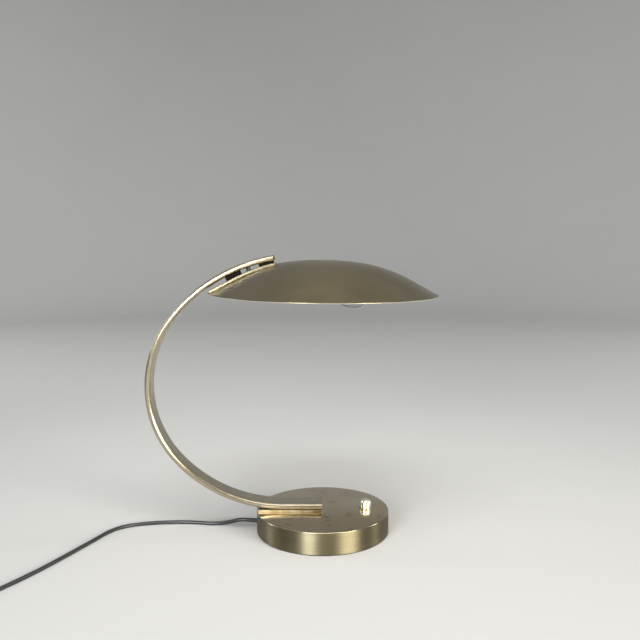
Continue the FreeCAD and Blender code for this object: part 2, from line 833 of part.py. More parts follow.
def make_guides():
    """Two guides: a block on the rail, a neck through the arm's slot and a wider head inside the arm."""
    top = arm_under() - size.slide_gap
    head_low = arm_under() + size.arm_wall + size.slide_gap
    head_high = head_low + size.guide_head_thick
    clear = angle_of(size.slide_gap)
    cap_end = size.end_angle + angle_of(size.arm_cap_thick) + clear
    over_rail = all_under(size.rail_thick)
    for name, (start, end) in guide_angles().items():
        low = dome_reach((start + end) / 2) - size.shade_thick
        foot = round_upper(low, top, size.guide_width, start, end).cut(over_rail)
        inner_start = max(start, cap_end)
        neck_width = size.slot_width - 2 * size.slide_gap
        neck = round_upper(top - SPARE, head_low + SPARE, neck_width, inner_start, end)
        head = round_upper(head_low, head_high, size.guide_head_width, inner_start, end)
        whole = foot.multiFuse([neck, head]).removeSplitter()
        tapped_to = top - size.guide_screw_spare
        screw = spoke(size.guide_screw_radius, arm_under() / 2, tapped_to, (start + end) / 2)
        keep(f"guide_{name}", feature(f"{name}_guide_block", whole.cut(screw)))


def make_guide_screws():
    """A screw from inside the shade into each guide: the front one also holds the bracket."""
    screws = []
    shank_end = arm_under() - size.slide_gap - size.guide_screw_spare
    for name, (start, end) in guide_angles().items():
        angle = (start + end) / 2
        inward = size.shade_thick + (size.bracket_thick if name == "front" else 0)
        seat = dome_reach(angle) - inward
        shank = spoke(size.guide_screw_radius, seat - SPARE, shank_end, angle)
        head = spoke(size.guide_head_radius, seat - size.guide_head_high, seat + SPARE, angle)
        head = head.common(all_under(-inward))
        screws.append(shank.fuse(head).removeSplitter())
    keep("guide_screws", feature("guide_screw_set", Part.makeCompound(screws)))


def make_lead_bush():
    """A rubber grommet in the shade, and the stiff sleeve that carries the lead up into the arm."""
    angle = size.lead_angle
    reach = dome_reach(angle)
    bore = spoke(size.sleeve_radius, arm_under() / 2, arm_under(), angle)
    low = reach - size.shade_thick - size.grommet_flange_thick
    flange = spoke(size.grommet_flange, low, reach, angle).common(all_under(-size.shade_thick))
    tube_low = low + size.grommet_flange_thick / 2
    tube_high = reach + size.rail_thick + size.grommet_above
    tube = spoke(size.sleeve_radius + size.grommet_wall, tube_low, tube_high, angle)
    keep("lead_grommet", feature("grommet_ring", flange.fuse(tube).cut(bore).removeSplitter()))
    top = size.upper_radius - size.arm_wire_inset - size.wire_radius - size.slide_gap
    sleeve = spoke(size.sleeve_radius, low - size.sleeve_below, top, angle)
    sleeve = sleeve.cut(spoke(size.sleeve_bore, arm_under() / 2, size.upper_radius, angle))
    keep("lead_sleeve", feature("sleeve_tube", sleeve))


# Lamp holder and bulb, on an axis along X under the dome.

def holder_start():
    """The front face of the bracket's upright, where the lamp holder begins."""
    angle = math.radians((size.front_guide_start + size.front_guide_end) / 2)
    screw = upper_centre().x - math.sin(angle) * arm_under()
    return Vector(screw + size.bracket_ahead, 0, shade_centre().z + size.bulb_axis_up)


def on_axis(radius, start, long, bore=0):
    """A round piece on the bulb's axis, measured from the holder's start."""
    place = holder_start() + AHEAD * start
    piece = Part.makeCylinder(radius, long, place, AHEAD)
    return piece.cut(Part.makeCylinder(bore, long, place, AHEAD)) if bore else piece


def turned_on_axis(corners):
    """Turn an outline of (distance, radius) corners round the bulb's axis."""
    place = holder_start()
    spots = [place + Vector(x, 0, r) for x, r in corners]
    return Part.Face(Part.makePolygon(spots + spots[:1])).revolve(place, AHEAD, 360)


def bulb_start():
    """Where the bulb's end contact touches the holder's, from the holder's start."""
    return size.holder_cap_long + size.insert_deep + size.contact_thick


def make_bracket():
    middle = shade_centre()
    face = holder_start()
    corner = Vector(face.x - size.bracket_foot, -size.bracket_width / 2, middle.z - size.shade_high)
    strip = Part.makeBox(size.bracket_foot, size.bracket_width, size.shade_high * 3, corner)
    inside = -size.shade_thick
    foot = spun_sheet(inside - size.bracket_thick, inside).common(strip)
    low = Vector(face.x - size.bracket_thick, -size.bracket_width / 2, face.z - size.bracket_below)
    upright = Part.makeBox(size.bracket_thick, size.bracket_width, size.shade_high * 3, low)
    whole = foot.fuse(upright.common(all_under(inside)))
    holes = guide_holes()[:2] + [on_axis(size.nipple_radius, -size.bracket_thick, size.bracket_thick)]
    keep("holder_bracket", feature("bent_bracket", whole.cut(holes).removeSplitter()))


def make_holder():
    back = -size.bracket_thick - size.nipple_behind
    nipple_long = size.nipple_behind + size.bracket_thick + size.neck_long
    nipple = on_axis(size.nipple_radius, back, nipple_long, size.nipple_bore)
    keep("holder_nipple", feature("nipple_tube", nipple))
    nut_at = holder_start() + AHEAD * (-size.bracket_thick - size.nut_thick)
    corner = size.nut_width / math.sqrt(3)
    turns = [math.radians(60 * n) for n in range(6)]
    corners = [nut_at + Vector(0, math.cos(turn), math.sin(turn)) * corner for turn in turns]
    nut = Part.Face(Part.makePolygon(corners + corners[:1])).extrude(AHEAD * size.nut_thick)
    nut = nut.cut(Part.makeCylinder(size.nipple_radius, size.nut_thick, nut_at, AHEAD))
    keep("holder_nut", feature("nipple_nut", nut))
    long, wall = size.holder_cap_long, size.holder_wall
    neck, taper = size.neck_long, size.neck_long + size.holder_taper
    outer, inner = size.holder_radius, size.holder_radius - wall
    outline = [(0, size.nipple_radius), (0, size.neck_radius), (neck, size.neck_radius), (taper, outer)]
    outline += [(long, outer), (long, inner), (taper + wall, inner)]
    outline += [(neck + wall, size.neck_radius - wall / 2), (neck + wall, size.nipple_radius)]
    keep("holder_cap", feature("cap_turning", turned_on_axis(outline)))
    shell = on_axis(outer, long, size.holder_shell_long, inner)
    keep("holder_shell", feature("shell_tube", shell))
    wire_holes = []
    for y in (-size.wire_apart / 2, size.wire_apart / 2):
        place = holder_start() + Vector(long, y, 0)
        wire_holes.append(Part.makeCylinder(size.wire_radius, size.insert_deep, place, AHEAD))
    keep("holder_insert", feature("insert_disc", on_axis(inner, long, size.insert_deep).cut(wire_holes)))
    contact = on_axis(size.contact_radius, long + size.insert_deep, size.contact_thick)
    keep("centre_contact", feature("contact_disc", contact))
    radius = size.bulb_neck_radius + size.bulb_cap_wall
    thread_long = size.holder_shell_long - size.insert_deep - size.thread_short
    thread = on_axis(radius + size.thread_wall, long + size.insert_deep, thread_long, radius)
    keep("thread_shell", feature("thread_tube", thread))


def glass_body(wall, foot):
    """The glass's outer form, or the hollow inside it: a ball, a neck and a tangent hollow curve between."""
    place = holder_start() + AHEAD * bulb_start()
    ball = size.bulb_radius - wall
    neck = size.bulb_neck_radius - wall
    start = size.bulb_cap_long - size.bulb_neck_straight
    neck_end = size.bulb_cap_long + size.bulb_neck_straight
    ball_x = size.bulb_long - size.bulb_radius
    run = ball_x - neck_end
    curve = (run ** 2 - ball ** 2 + neck ** 2) / (2 * (ball - neck))
    hollow = Vector(neck_end, 0, neck + curve)
    way = (hollow - Vector(ball_x, 0, 0)).normalize()
    touch = Vector(ball_x, 0, 0) + way * ball
    lean = (touch - hollow).normalize()
    half = (lean + Vector(0, 0, -1)).normalize()
    side = Vector(ball_x, 0, 0) + (way + AHEAD).normalize() * ball
    low = start + foot
    edges = [Part.LineSegment(Vector(low, 0, 0), Vector(low, 0, neck))]
    edges.append(Part.LineSegment(Vector(low, 0, neck), Vector(neck_end, 0, neck)))
    edges.append(Part.Arc(Vector(neck_end, 0, neck), hollow + half * curve, touch))
    edges.append(Part.Arc(touch, side, Vector(ball_x + ball, 0, 0)))
    edges.append(Part.LineSegment(Vector(ball_x + ball, 0, 0), Vector(low, 0, 0)))
    solid = Part.Face(Part.Wire([edge.toShape() for edge in edges])).revolve(Vector(), AHEAD, 360)
    solid.translate(place)
    return solid


def make_bulb():
    start = bulb_start()
    radius = size.bulb_neck_radius + size.bulb_cap_wall
    hollow = glass_body(size.bulb_glass_wall, size.bulb_foot_wall)
    keep("bulb_glass", feature("glass_envelope", glass_body(0, 0).cut(hollow)))
    tip = on_axis(size.bulb_tip_radius, start, size.bulb_tip_long / 2)
    keep("bulb_contact", feature("tip_disc", tip))
    cone = [(start + size.bulb_tip_long / 2, 0), (start + size.bulb_tip_long / 2, size.bulb_tip_radius)]
    cone += [(start + size.bulb_tip_long, size.bulb_cone_radius), (start + size.bulb_tip_long, 0)]
    keep("bulb_insulator", feature("insulator_cone", turned_on_axis(cone)))
    low, high, wall = start + size.bulb_tip_long, start + size.bulb_cap_long, size.bulb_cap_wall
    side = low + size.bulb_cone_long
    shell = [(low, 0), (low, size.bulb_cone_radius), (side, radius), (high, radius)]
    shell += [(high, size.bulb_neck_radius), (side, size.bulb_neck_radius), (side, 0)]
    keep("bulb_cap", feature("cap_shell", turned_on_axis(shell)))
    glass_end = start + size.bulb_cap_long - size.bulb_neck_straight + size.bulb_foot_wall
    stem_end = glass_end + size.stem_long
    stem = [(glass_end, 0), (glass_end, size.stem_foot_radius)]
    stem += [(stem_end, size.stem_top_radius), (stem_end, 0)]
    keep("bulb_stem", feature("glass_stem", turned_on_axis(stem)))
    place = holder_start() + AHEAD * stem_end
    ends = []
    supports = []
    for side in (-1, 1):
        foot = place + Vector(size.support_radius, side * size.stem_top_radius / 2, 0)
        end = place + Vector(size.support_long, side * size.support_spread, 0)
        supports.append(Part.makeCylinder(size.support_radius, (end - foot).Length, foot, end - foot))
        ends.append(end)
    keep("bulb_supports", feature("support_pair", Part.makeCompound(supports)))
    tip = place + AHEAD * (size.support_long + size.filament_bow)
    bow = Part.Wire(Part.Arc(ends[0], tip, ends[1]).toShape())
    lift = Vector(size.support_radius + size.filament_radius, 0, 0)
    bow.translate(lift)
    keep("bulb_filament", feature("filament_bow_wire", tube_along(bow, size.filament_radius)))


def make_shade_wires():
    """Two wires from the arm, down the sleeve and round into the lamp holder."""
    angle = math.radians(size.lead_angle)
    way = Vector(math.sin(angle), 0, -math.cos(angle))
    top = upper_centre() - way * (size.upper_radius - size.arm_wire_inset - size.wire_radius - size.slide_gap)
    level = holder_start().z
    meet = top + way * ((level - top.z) / way.z)
    end = Vector(holder_start().x + size.holder_cap_long, 0, level)
    wires = []
    for y in (-size.wire_apart / 2, size.wire_apart / 2):
        aside = ACROSS * y
        path, radii = rounded_path([top + aside, meet + aside, end + aside], size.bulb_radius)
        wires.append(tube_along(path, size.wire_radius))
    print("lead in the shade bends at", [round(r, 1) for r in radii], "mm")
    keep("shade_wires", feature("shade_wire_pair", Part.makeCompound(wires)))


# Push button, switch and what is wired to it.

def make_button():
    ball_middle = "(base_high + button_high - button_radius)"
    low = "(base_high - button_skirt)"
    at = ("button_ahead", "0", low)
    post = rod("button_post", "button_radius", f"{ball_middle} - {low}", at)
    ball = doc.addObject("Part::Sphere", "button_ball")
    bound(ball, ("button_ahead", "0", ball_middle), Radius="button_radius")
    hollow = rod("button_inside", "button_hollow", "button_skirt + button_roof", at)
    keep("button_cap", minus("button_cut", plus("button_form", [post, ball]), [hollow]))
    stem_top = "(base_high + button_roof)"
    switch_top = "(base_high - cover_wall - barrel_deep)"
    stem_low = f"({switch_top} - stem_reach)"
    stem_at = ("button_ahead", "0", stem_low)
    keep("button_stem", rod("stem_rod", "stem_radius", f"{stem_top} - {stem_low}", stem_at))


def make_switch():
    top = "(base_high - cover_wall - barrel_deep)"
    bore = "button_radius + collar_gap"
    barrel = f"{bore} + collar_wall"
    outline = [(bore, top), (barrel, top), (barrel, "base_high"), ("collar_radius", "base_high")]
    outline += [("collar_radius", "base_high + collar_high"), (bore, "base_high + collar_high")]
    keep("switch_collar", rounded(turned("collar_turning", outline, BUTTON_AT), "collar_edge_round",
                                  "collar_high / 3", collar_rim))
    ring_at = ("button_ahead", "0", f"{COVER_ROOF} - ring_nut_thick")
    ring = rod("ring_disc", "ring_nut_radius", "ring_nut_thick", ring_at)
    hole = rod("ring_hole", barrel, "ring_nut_thick", ring_at)
    keep("switch_nut", minus("ring_nut_cut", ring, [hole]))
    at = ("button_ahead - switch_long / 2", "-switch_width / 2", f"{top} - switch_deep")
    case = block("switch_case", "switch_long", "switch_width", "switch_deep", at)
    deep = "stem_reach + button_travel + stem_hole_spare"
    hole = rod("stem_hole", "stem_radius + stem_running", deep, ("button_ahead", "0", f"{top} - ({deep})"))
    keep("switch_body", minus("switch_case_cut", case, [hole]))
    tabs = []
    for number, side in enumerate(("-", "")):
        y = f"{side}switch_wire_apart / 2 - tab_width / 2"
        at = ("button_ahead - switch_long / 2 - tab_long", y, f"{top} - tab_below_top - tab_thick / 2")
        tabs.append(block(f"switch_tab_{number}", "tab_long", "tab_width", "tab_thick", at))
    keep("switch_terminals", group("switch_tabs", tabs))


def collar_rim(edge):
    box = edge.BoundBox
    on_top = box.ZMin > size.base_high + size.collar_high - NEAR
    return on_top and box.XLength > 2 * size.collar_radius - NEAR


def switch_top():
    return base_roof() - size.barrel_deep


def make_spring():
    """The button's return spring, an open helix between the switch and the cap's roof."""
    low = switch_top() + size.spring_wire
    high = size.base_high + size.button_roof - size.spring_wire
    rise = (high - low) / size.spring_turns
    quarters = round(size.spring_turns * 4)
    spots = []
    for step in range(quarters + 1):
        angle = step * math.pi / 2
        out = Vector(math.cos(angle), math.sin(angle), 0)
        spot = Vector(size.button_ahead, 0, low) + out * size.spring_radius
        way = UP.cross(out) * (2 * math.pi * size.spring_radius) + UP * rise
        spots.append((spot + UP * ((high - low) * step / quarters), way.normalize()))
    edges = []
    for (a, a_way), (b, b_way) in zip(spots, spots[1:]):
        edges += biarc(a, a_way, b, b_way)
    coil = tube_along(Part.Wire(edges), size.spring_wire)
    keep("switch_spring", feature("spring_helix", coil))


def make_terminal_block():
    at = ("-block_behind", "block_aside", WEIGHT_TOP)
    keep("terminal_block", block("terminal_case", "block_long", "block_width", "block_high", at))


def make_switch_wires():
    """Two wires from the terminal block to the switch, lying on the iron weight's top."""
    start_x = size.block_long - size.block_behind
    end_x = size.button_ahead - size.switch_long / 2 - size.tab_long
    level = switch_top() - size.tab_below_top
    aside = size.block_aside + 2 * size.block_width / 3
    third = (end_x - start_x) / 3
    wires = []
    for y in (-size.switch_wire_apart / 2, size.switch_wire_apart / 2):
        spots = [Vector(start_x, aside + y, level), Vector(start_x + third, aside + y, level)]
        spots += [Vector(end_x - third / 2, y, level), Vector(end_x, y, level)]
        path, _ = rounded_path(spots)
        wires.append(tube_along(path, size.wire_radius))
    keep("switch_wires", feature("switch_wire_pair", Part.makeCompound(wires)))


# The mains cord: inside the foot, over the table, in its coil and at its plug.

def make_relief():
    wall_in = "(base_radius - cover_wall)"
    flange_long = "relief_flange_thick - relief_flange_gap"
    flange_low = f"{wall_in} - relief_flange_thick"
    flange = along_exit("relief_flange_disc", "relief_flange", flange_low, flange_long)
    neck_low = f"{wall_in} - relief_flange_gap"
    neck = along_exit("relief_neck", "relief_foot", neck_low, "cover_wall + relief_flange_gap")
    cone = along_exit("relief_cone", "relief_foot", "base_radius", "relief_long", "cone", "relief_tip")
    tail = along_exit("relief_tail_rod", "relief_foot", f"{flange_low} - relief_tail", "relief_tail")
    keep("cord_relief", plus("relief_moulding", [flange, neck, cone, tail]))


def make_inner_cord():
    start = "(base_radius - cover_wall - relief_flange_thick - relief_tail)"
    jacket = along_exit("jacket_rod", "cord_radius", f"{start} - jacket_long", "jacket_long")
    keep("inner_cord", jacket)
    box = block("clamp_block", "clamp_long", "clamp_width", "clamp_high", ("0", "0", PLATE_TOP))
    reach = f"({start} - clamp_from_wall)"
    set_on_exit(box, reach, "clamp_width / 2")
    hole = along_exit("clamp_hole", "cord_radius", f"{reach} - clamp_long", "clamp_long * 3")
    keep("cord_clamp", minus("clamp_cut", box, [hole]))


def make_inlet_wires():
    """The cord's two wires, from its jacket up into the terminal block."""
    way = exit_way()
    aside = Vector(-way.y, way.x, 0)
    inside = size.cover_wall + size.relief_flange_thick + size.relief_tail + size.jacket_long
    reach = size.base_radius - inside
    wires = []
    level = size.pad_thick + size.plate_thick + size.weight_thick + size.block_high / 2
    for side in (-1, 1):
        shift = side * size.wire_apart / 2
        first = way * reach + aside * shift + UP * size.exit_high
        last = Vector(-size.block_behind, size.block_aside + size.block_width / 3 - shift, level)
        spots = [first, first - way * (2 * size.wire_apart), last - AHEAD * (2 * size.wire_apart), last]
        path, _ = rounded_path(spots)
        wires.append(tube_along(path, size.wire_radius))
    keep("inlet_wires", feature("inlet_wire_pair", Part.makeCompound(wires)))


# The cord's way over the table, chosen by hand from the photograph. The first point is the relief's tip.
CORD_ROUTE = [
    (-146.0, 20.5, 3.8),
    (-166.0, 17.6, 2.75),
    (-187.0, 20.8, 2.75),
    (-210.0, 24.6, 2.75),
    (-242.0, 23.6, 2.75),
    (-273.0, 18.6, 2.75),
    (-302.0, 8.6, 2.75),
    (-322.0, -13.0, 2.75),
    (-334.0, -45.0, 2.75),
    (-349.0, -81.0, 2.75),
    (-365.0, -119.0, 2.75),
    (-383.0, -159.0, 2.75),
    (-404.0, -197.0, 2.75),
    (-424.0, -231.0, 2.75),
]
# Straight stretches of the cord beside its joints, in cord radii.
STRAIGHT_OUT = 4
STRAIGHT_IN = 8
# The coil lies just outside the photographed view, and the last stretch leads from it to the plug.
COIL_CENTRE = Vector(-475.0, -290.0, 2.75)
TAIL_ROUTE = [
    (-514.5, -251.0, 4.6),
    (-516.5, -230.0, 2.95),
]
PLUG_AT = Vector(-521.0, -176.0, 7.0)
PLUG_TURN = 94.0
# The share of a turn in which the coil climbs from its lower to its upper layer.
CLIMB_TURNS = 0.5


def coil_outer():
    return size.coil_mean_radius + size.coil_pitch * size.coil_layer_turns / 2


def coil_spot(turns):
    """A point and direction of the coil, after a number of turns from its outer end."""
    layer = size.coil_layer_turns
    pitch = size.coil_pitch
    inner_turns = layer + CLIMB_TURNS / 2
    climb = min(max((turns - layer) / CLIMB_TURNS, 0), 1)
    radius = coil_outer() - pitch * (turns if turns < inner_turns else 2 * inner_turns - turns)
    if abs(turns - inner_turns) < NEAR:
        rate = 0.0
    else:
        rate = -pitch if turns < inner_turns else pitch
    lift = pitch * climb * climb * (3 - 2 * climb)
    lift_rate = pitch * 6 * climb * (1 - climb) / CLIMB_TURNS
    angle = -2 * math.pi * turns
    out = Vector(math.cos(angle), math.sin(angle), 0)
    round_ = Vector(math.sin(angle), -math.cos(angle), 0)
    spot = COIL_CENTRE + out * radius + UP * lift
    way = out * rate + round_ * (2 * math.pi * radius) + UP * lift_rate
    return spot, way.normalize()


def biarc(start, start_way, end, end_way):
    """Two arcs that join two points with given directions."""
    across = end - start
    ways = start_way + end_way
    along = across.dot(ways)
    spare = 4 - ways.dot(ways)
    reach = (math.sqrt(along * along + spare * across.dot(across)) - along) / spare
    first_corner = start + start_way * reach
    last_corner = end - end_way * reach
    joint = (first_corner + last_corner) * 0.5
    arcs = []
    for near, corner, far in ((start, first_corner, joint), (joint, last_corner, end)):
        turn = (corner - near).getAngle(far - corner)
        weight = math.cos(turn / 2)
        middle = (near + corner * (2 * weight) + far) * (1 / (2 + 2 * weight))
        arcs.append(Part.Arc(near, middle, far).toShape())
    return arcs


def coil_ends():
    """Where the coil's straight ends meet the rest of the cord, with the coil's direction there."""
    long = 2 * size.cord_radius
    total = 2 * size.coil_layer_turns + CLIMB_TURNS
    first, first_way = coil_spot(0)
    last, last_way = coil_spot(total)
    level = Vector(first_way.x, first_way.y, 0).normalize()
    return first - level * long, level, last + last_way * long, last_way


def make_coil():
    """The put-away length: it spirals in on the table, climbs a layer and spirals out again."""
    total = 2 * size.coil_layer_turns + CLIMB_TURNS
    quarters = round(total * 4)
    spots = [coil_spot(total * step / quarters) for step in range(quarters + 1)]
    start, start_way, end, end_way = coil_ends()
    edges = [Part.LineSegment(start, spots[0][0]).toShape()]
    spots[0] = (spots[0][0], start_way)
    for (a, a_way), (b, b_way) in zip(spots, spots[1:]):
        edges += biarc(a, a_way, b, b_way)
    edges.append(Part.LineSegment(spots[-1][0], end).toShape())
    path = Part.Wire(edges)
    print("coil's length", round(path.Length, 1), "mm; least gap to itself", round(coil_gap(path), 2), "mm")
    keep("cord_coil", feature("coil_tube", tube_along(path, size.cord_radius)))
    return path.Length


def coil_gap(path):
    """The least gap between the coil's turns, measured on points along its middle line."""
    step = size.cord_radius
    spots = path.discretize(Distance=step)
    apart = math.ceil(math.pi * size.coil_mean_radius / step)
    least = min((a - b).Length for i, a in enumerate(spots) for b in spots[i + apart:])
    return least - 2 * size.cord_radius


def make_run():
    tip = exit_way() * (size.base_radius + size.relief_long) + UP * size.exit_high
    start, way, _, _ = coil_ends()
    ahead = tip + exit_way() * (STRAIGHT_OUT * size.cord_radius)
    back = start - way * (STRAIGHT_IN * size.cord_radius)
    spots = [tip, ahead] + [Vector(*spot) for spot in CORD_ROUTE] + [back, start]
    path, radii = rounded_path(spots)
    print("cord's bends on the table", [round(r) for r in radii], "mm, length", round(path.Length, 1), "mm")
    keep("cord_run", feature("run_tube", tube_along(path, size.cord_radius)))
    return path.Length


def plug_place():
    return FreeCAD.Placement(PLUG_AT, FreeCAD.Rotation(UP, PLUG_TURN))


def make_tail():
    _, _, end, way = coil_ends()
    out = end + way * (STRAIGHT_OUT * size.cord_radius)
    place = plug_place()
    neck = place.multVec(Vector(-size.plug_neck_long, 0, 0))
    before = place.multVec(Vector(-size.plug_neck_long - STRAIGHT_OUT * size.cord_radius, 0, 0))
    spots = [end, out] + [Vector(*spot) for spot in TAIL_ROUTE] + [before, neck]
    path, radii = rounded_path(spots)
    print("cord's bends to the plug", [round(r) for r in radii], "mm, length", round(path.Length, 1), "mm")
    keep("cord_tail", feature("tail_tube", tube_along(path, size.cord_radius)))
    return path.Length


def make_plug():
    """A flat two-pin plug that lies on the table."""
    long, wide, thick = size.plug_long, size.plug_width, size.plug_thick
    case = Part.makeBox(long, wide, thick, Vector(0, -wide / 2, -thick / 2))
    uprights = [edge for edge in case.Edges if abs(edge.tangentAt(edge.FirstParameter).z) > 0.9]
    case = case.makeFillet(size.plug_edge, uprights)
    neck_tip = size.cord_radius + size.plug_neck_lip
    neck_start = AHEAD * -size.plug_neck_long
    neck = Part.makeCone(neck_tip, size.plug_neck_radius, size.plug_neck_long, neck_start, AHEAD)
    body = case.fuse(neck).removeSplitter()
    pins = []
    for side in (-1, 1):
        spot = Vector(long, side * size.pin_apart / 2, 0)
        pins.append(Part.makeCylinder(size.pin_radius, size.pin_long, spot, AHEAD))
    for name, shape in (("plug_body", body), ("plug_pins", Part.makeCompound(pins))):
        thing = feature(name + "_form", shape)
        thing.Placement = plug_place()
        keep(name, thing)


make_pad()
make_bottom_plate()
make_bottom_screws()
make_weight()
make_cover()
make_foot_plate()
make_foot_insert()
make_arm()
make_arm_screws()
make_arm_wires()
make_shade()
make_guides()
make_guide_screws()
make_lead_bush()
make_bracket()
make_holder()
make_bulb()
make_shade_wires()
make_button()
make_switch()
make_spring()
make_terminal_block()
make_switch_wires()
make_relief()
make_inner_cord()
make_inlet_wires()
cord_long = make_run() + make_coil() + make_tail()
make_plug()
print("cord's whole length", round(cord_long), "mm")
print("upper bend's centre", upper_centre(), "shade's rim centre", shade_centre(), "holder", holder_start())

doc.recompute()
for thing in doc.Objects:
    if "Invalid" in thing.State or "Error" in thing.State:
        raise RuntimeError(f"{thing.Name} failed: {thing.State}")
for name, thing in nodes.items():
    if thing.Shape.isNull() or not thing.Shape.isValid() or not thing.Shape.Solids:
        raise RuntimeError(f"{name} isn't a valid solid")
os.makedirs("parts", exist_ok=True)
for name, thing in nodes.items():
    thing.Shape.exportStep(f"parts/{name}.step")
print(len(nodes), "sub-parts written")
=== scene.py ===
# %% [markdown]
# # A desk lamp with a bent arm
#
# The lamp has four main forms: a heavy round foot, a flat tube bent into a bow, a shallow
# spun dome, and a mains cord that runs away over the table. Its metal is brushed nickel that
# has aged to the colour of champagne. The construction comes from a packed model whose
# pieces already stand in place. This lesson gives them their finish, and makes again the
# pieces whose edges and surfaces are seen from close by.

# %% Load the model
import json
import math

import bmesh
import bpy
from mathutils import Matrix, Vector


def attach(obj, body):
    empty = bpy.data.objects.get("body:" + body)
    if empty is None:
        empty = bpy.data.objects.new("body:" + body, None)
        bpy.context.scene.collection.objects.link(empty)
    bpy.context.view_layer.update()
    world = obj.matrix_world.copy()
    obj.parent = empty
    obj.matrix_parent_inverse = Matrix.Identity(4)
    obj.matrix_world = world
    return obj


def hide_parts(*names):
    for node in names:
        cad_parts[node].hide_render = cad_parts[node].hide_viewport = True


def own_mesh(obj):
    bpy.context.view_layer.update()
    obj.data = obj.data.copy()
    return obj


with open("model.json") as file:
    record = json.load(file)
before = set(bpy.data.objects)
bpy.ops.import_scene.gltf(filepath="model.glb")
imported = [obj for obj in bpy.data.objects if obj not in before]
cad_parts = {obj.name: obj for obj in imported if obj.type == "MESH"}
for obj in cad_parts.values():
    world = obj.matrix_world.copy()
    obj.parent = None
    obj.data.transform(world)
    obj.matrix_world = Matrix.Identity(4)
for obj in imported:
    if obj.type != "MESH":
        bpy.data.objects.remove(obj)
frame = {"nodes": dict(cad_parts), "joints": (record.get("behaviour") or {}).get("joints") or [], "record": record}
nodes = frame["nodes"]
scene = bpy.context.scene
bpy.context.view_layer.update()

# %% [markdown]
# ## The camera
#
# Upright edges stay upright in the photograph, so its lens looked level, from a little above
# the shade. A tilted camera would make the foot's ellipse right and the shade's wrong. The
# lens here is level too, and its picture is shifted down until the horizon lies where the
# photograph has it.

# %% Place the camera
PICTURE = 640
HORIZON_ROW = 234.3
SENSOR = 36.0
FOCAL_LENGTH = 43.95
EYE = (-0.0041, -1.193, 0.4510)


def add_to_scene(name, data):
    """A new object for some data, in the scene."""
    thing = bpy.data.objects.new(name, data)
    scene.collection.objects.link(thing)
    return thing


camera = add_to_scene("camera", bpy.data.cameras.new("camera"))
camera.data.sensor_width = SENSOR
camera.data.lens = FOCAL_LENGTH
camera.data.shift_y = (HORIZON_ROW - PICTURE / 2) / PICTURE
camera.location = EYE
camera.rotation_euler = (math.radians(90), 0, 0)
scene.camera = camera
print("lens", FOCAL_LENGTH, "mm, shifted by", round(camera.data.shift_y, 3))

# %% [markdown]
# ## The cord's line
#
# A mains lead is springy. It comes straight out of its strain relief, drops to the table in a
# few centimetres and then lies in slow curves, never in straight runs with corners. A NURBS
# spline does just that: it is drawn towards its points without passing through them, so a
# dozen listed points give one smooth line. The length that the photograph doesn't
# show is wound into a small coil that lies beyond the picture's left edge, and the plug lies
# beside it.

# %% Choose the cord's points
CORD_RADIUS = 0.00275
FOOT_RADIUS = 0.100
RELIEF_LONG = 0.020
EXIT_TURN = math.radians(169.7)
EXIT_HIGH = 0.0075
EXIT_WAY = Vector((math.cos(EXIT_TURN), math.sin(EXIT_TURN), 0))
cord_exit = EXIT_WAY * (FOOT_RADIUS + RELIEF_LONG) + Vector((0, 0, EXIT_HIGH))
cord_route = [
    cord_exit,
    cord_exit + EXIT_WAY * 4 * CORD_RADIUS,
    (-0.146, 0.0205, 0.0038),
    (-0.166, 0.0176, 0.00275),
    (-0.187, 0.0208, 0.00275),
    (-0.210, 0.0246, 0.00275),
    (-0.242, 0.0236, 0.00275),
    (-0.273, 0.0186, 0.00275),
    (-0.302, 0.0086, 0.00275),
    (-0.322, -0.0130, 0.00275),
    (-0.334, -0.0450, 0.00275),
    (-0.349, -0.0810, 0.00275),
    (-0.365, -0.1190, 0.00275),
    (-0.383, -0.1590, 0.00275),
    (-0.404, -0.1970, 0.00275),
    (-0.424, -0.2310, 0.00275),
]
print(len(cord_route), "points over the table")

# %% Wind the coil
COIL_CENTRE = Vector((-0.475, -0.290, CORD_RADIUS))
COIL_PITCH = 0.0061
COIL_MEAN_RADIUS = 0.0335
LAYER_TURNS = 2.5
CLIMB_TURNS = 0.5
POINTS_A_TURN = 20


def coil_point(turns):
    """A point of the coil, which spirals in, climbs a layer and spirals out again."""
    reversal = LAYER_TURNS + CLIMB_TURNS / 2
    inward = min(turns, 2 * reversal - turns)
    radius = COIL_MEAN_RADIUS + COIL_PITCH * (LAYER_TURNS / 2 - inward)
    climb = min(max((turns - LAYER_TURNS) / CLIMB_TURNS, 0), 1)
    angle = -2 * math.pi * turns
    lift = COIL_PITCH * climb * climb * (3 - 2 * climb)
    return COIL_CENTRE + Vector((radius * math.cos(angle), radius * math.sin(angle), lift))


COIL_TURNS = 2 * LAYER_TURNS + CLIMB_TURNS
coil_steps = round(COIL_TURNS * POINTS_A_TURN)
coil = [coil_point(COIL_TURNS * step / coil_steps) for step in range(coil_steps + 1)]
lead_in = coil[0] + Vector((0.001, 0.022, 0))
print(len(coil), "points in", COIL_TURNS, "turns of the coil")

# %% Draw the cord
PLUG_AT = Vector((-0.521, -0.176, 0.007))
PLUG_TURN = math.radians(94)
PLUG_NECK = 0.022
plug_place = Matrix.Translation(PLUG_AT) @ Matrix.Rotation(PLUG_TURN, 4, "Z")
tail = [
    coil[-1] + Vector((0, 0.011, 0)),
    (-0.5145, -0.251, 0.0046),
    (-0.5165, -0.230, 0.00295),
    plug_place @ Vector((-PLUG_NECK - 0.011, 0, 0)),
    plug_place @ Vector((-PLUG_NECK, 0, 0)),
]


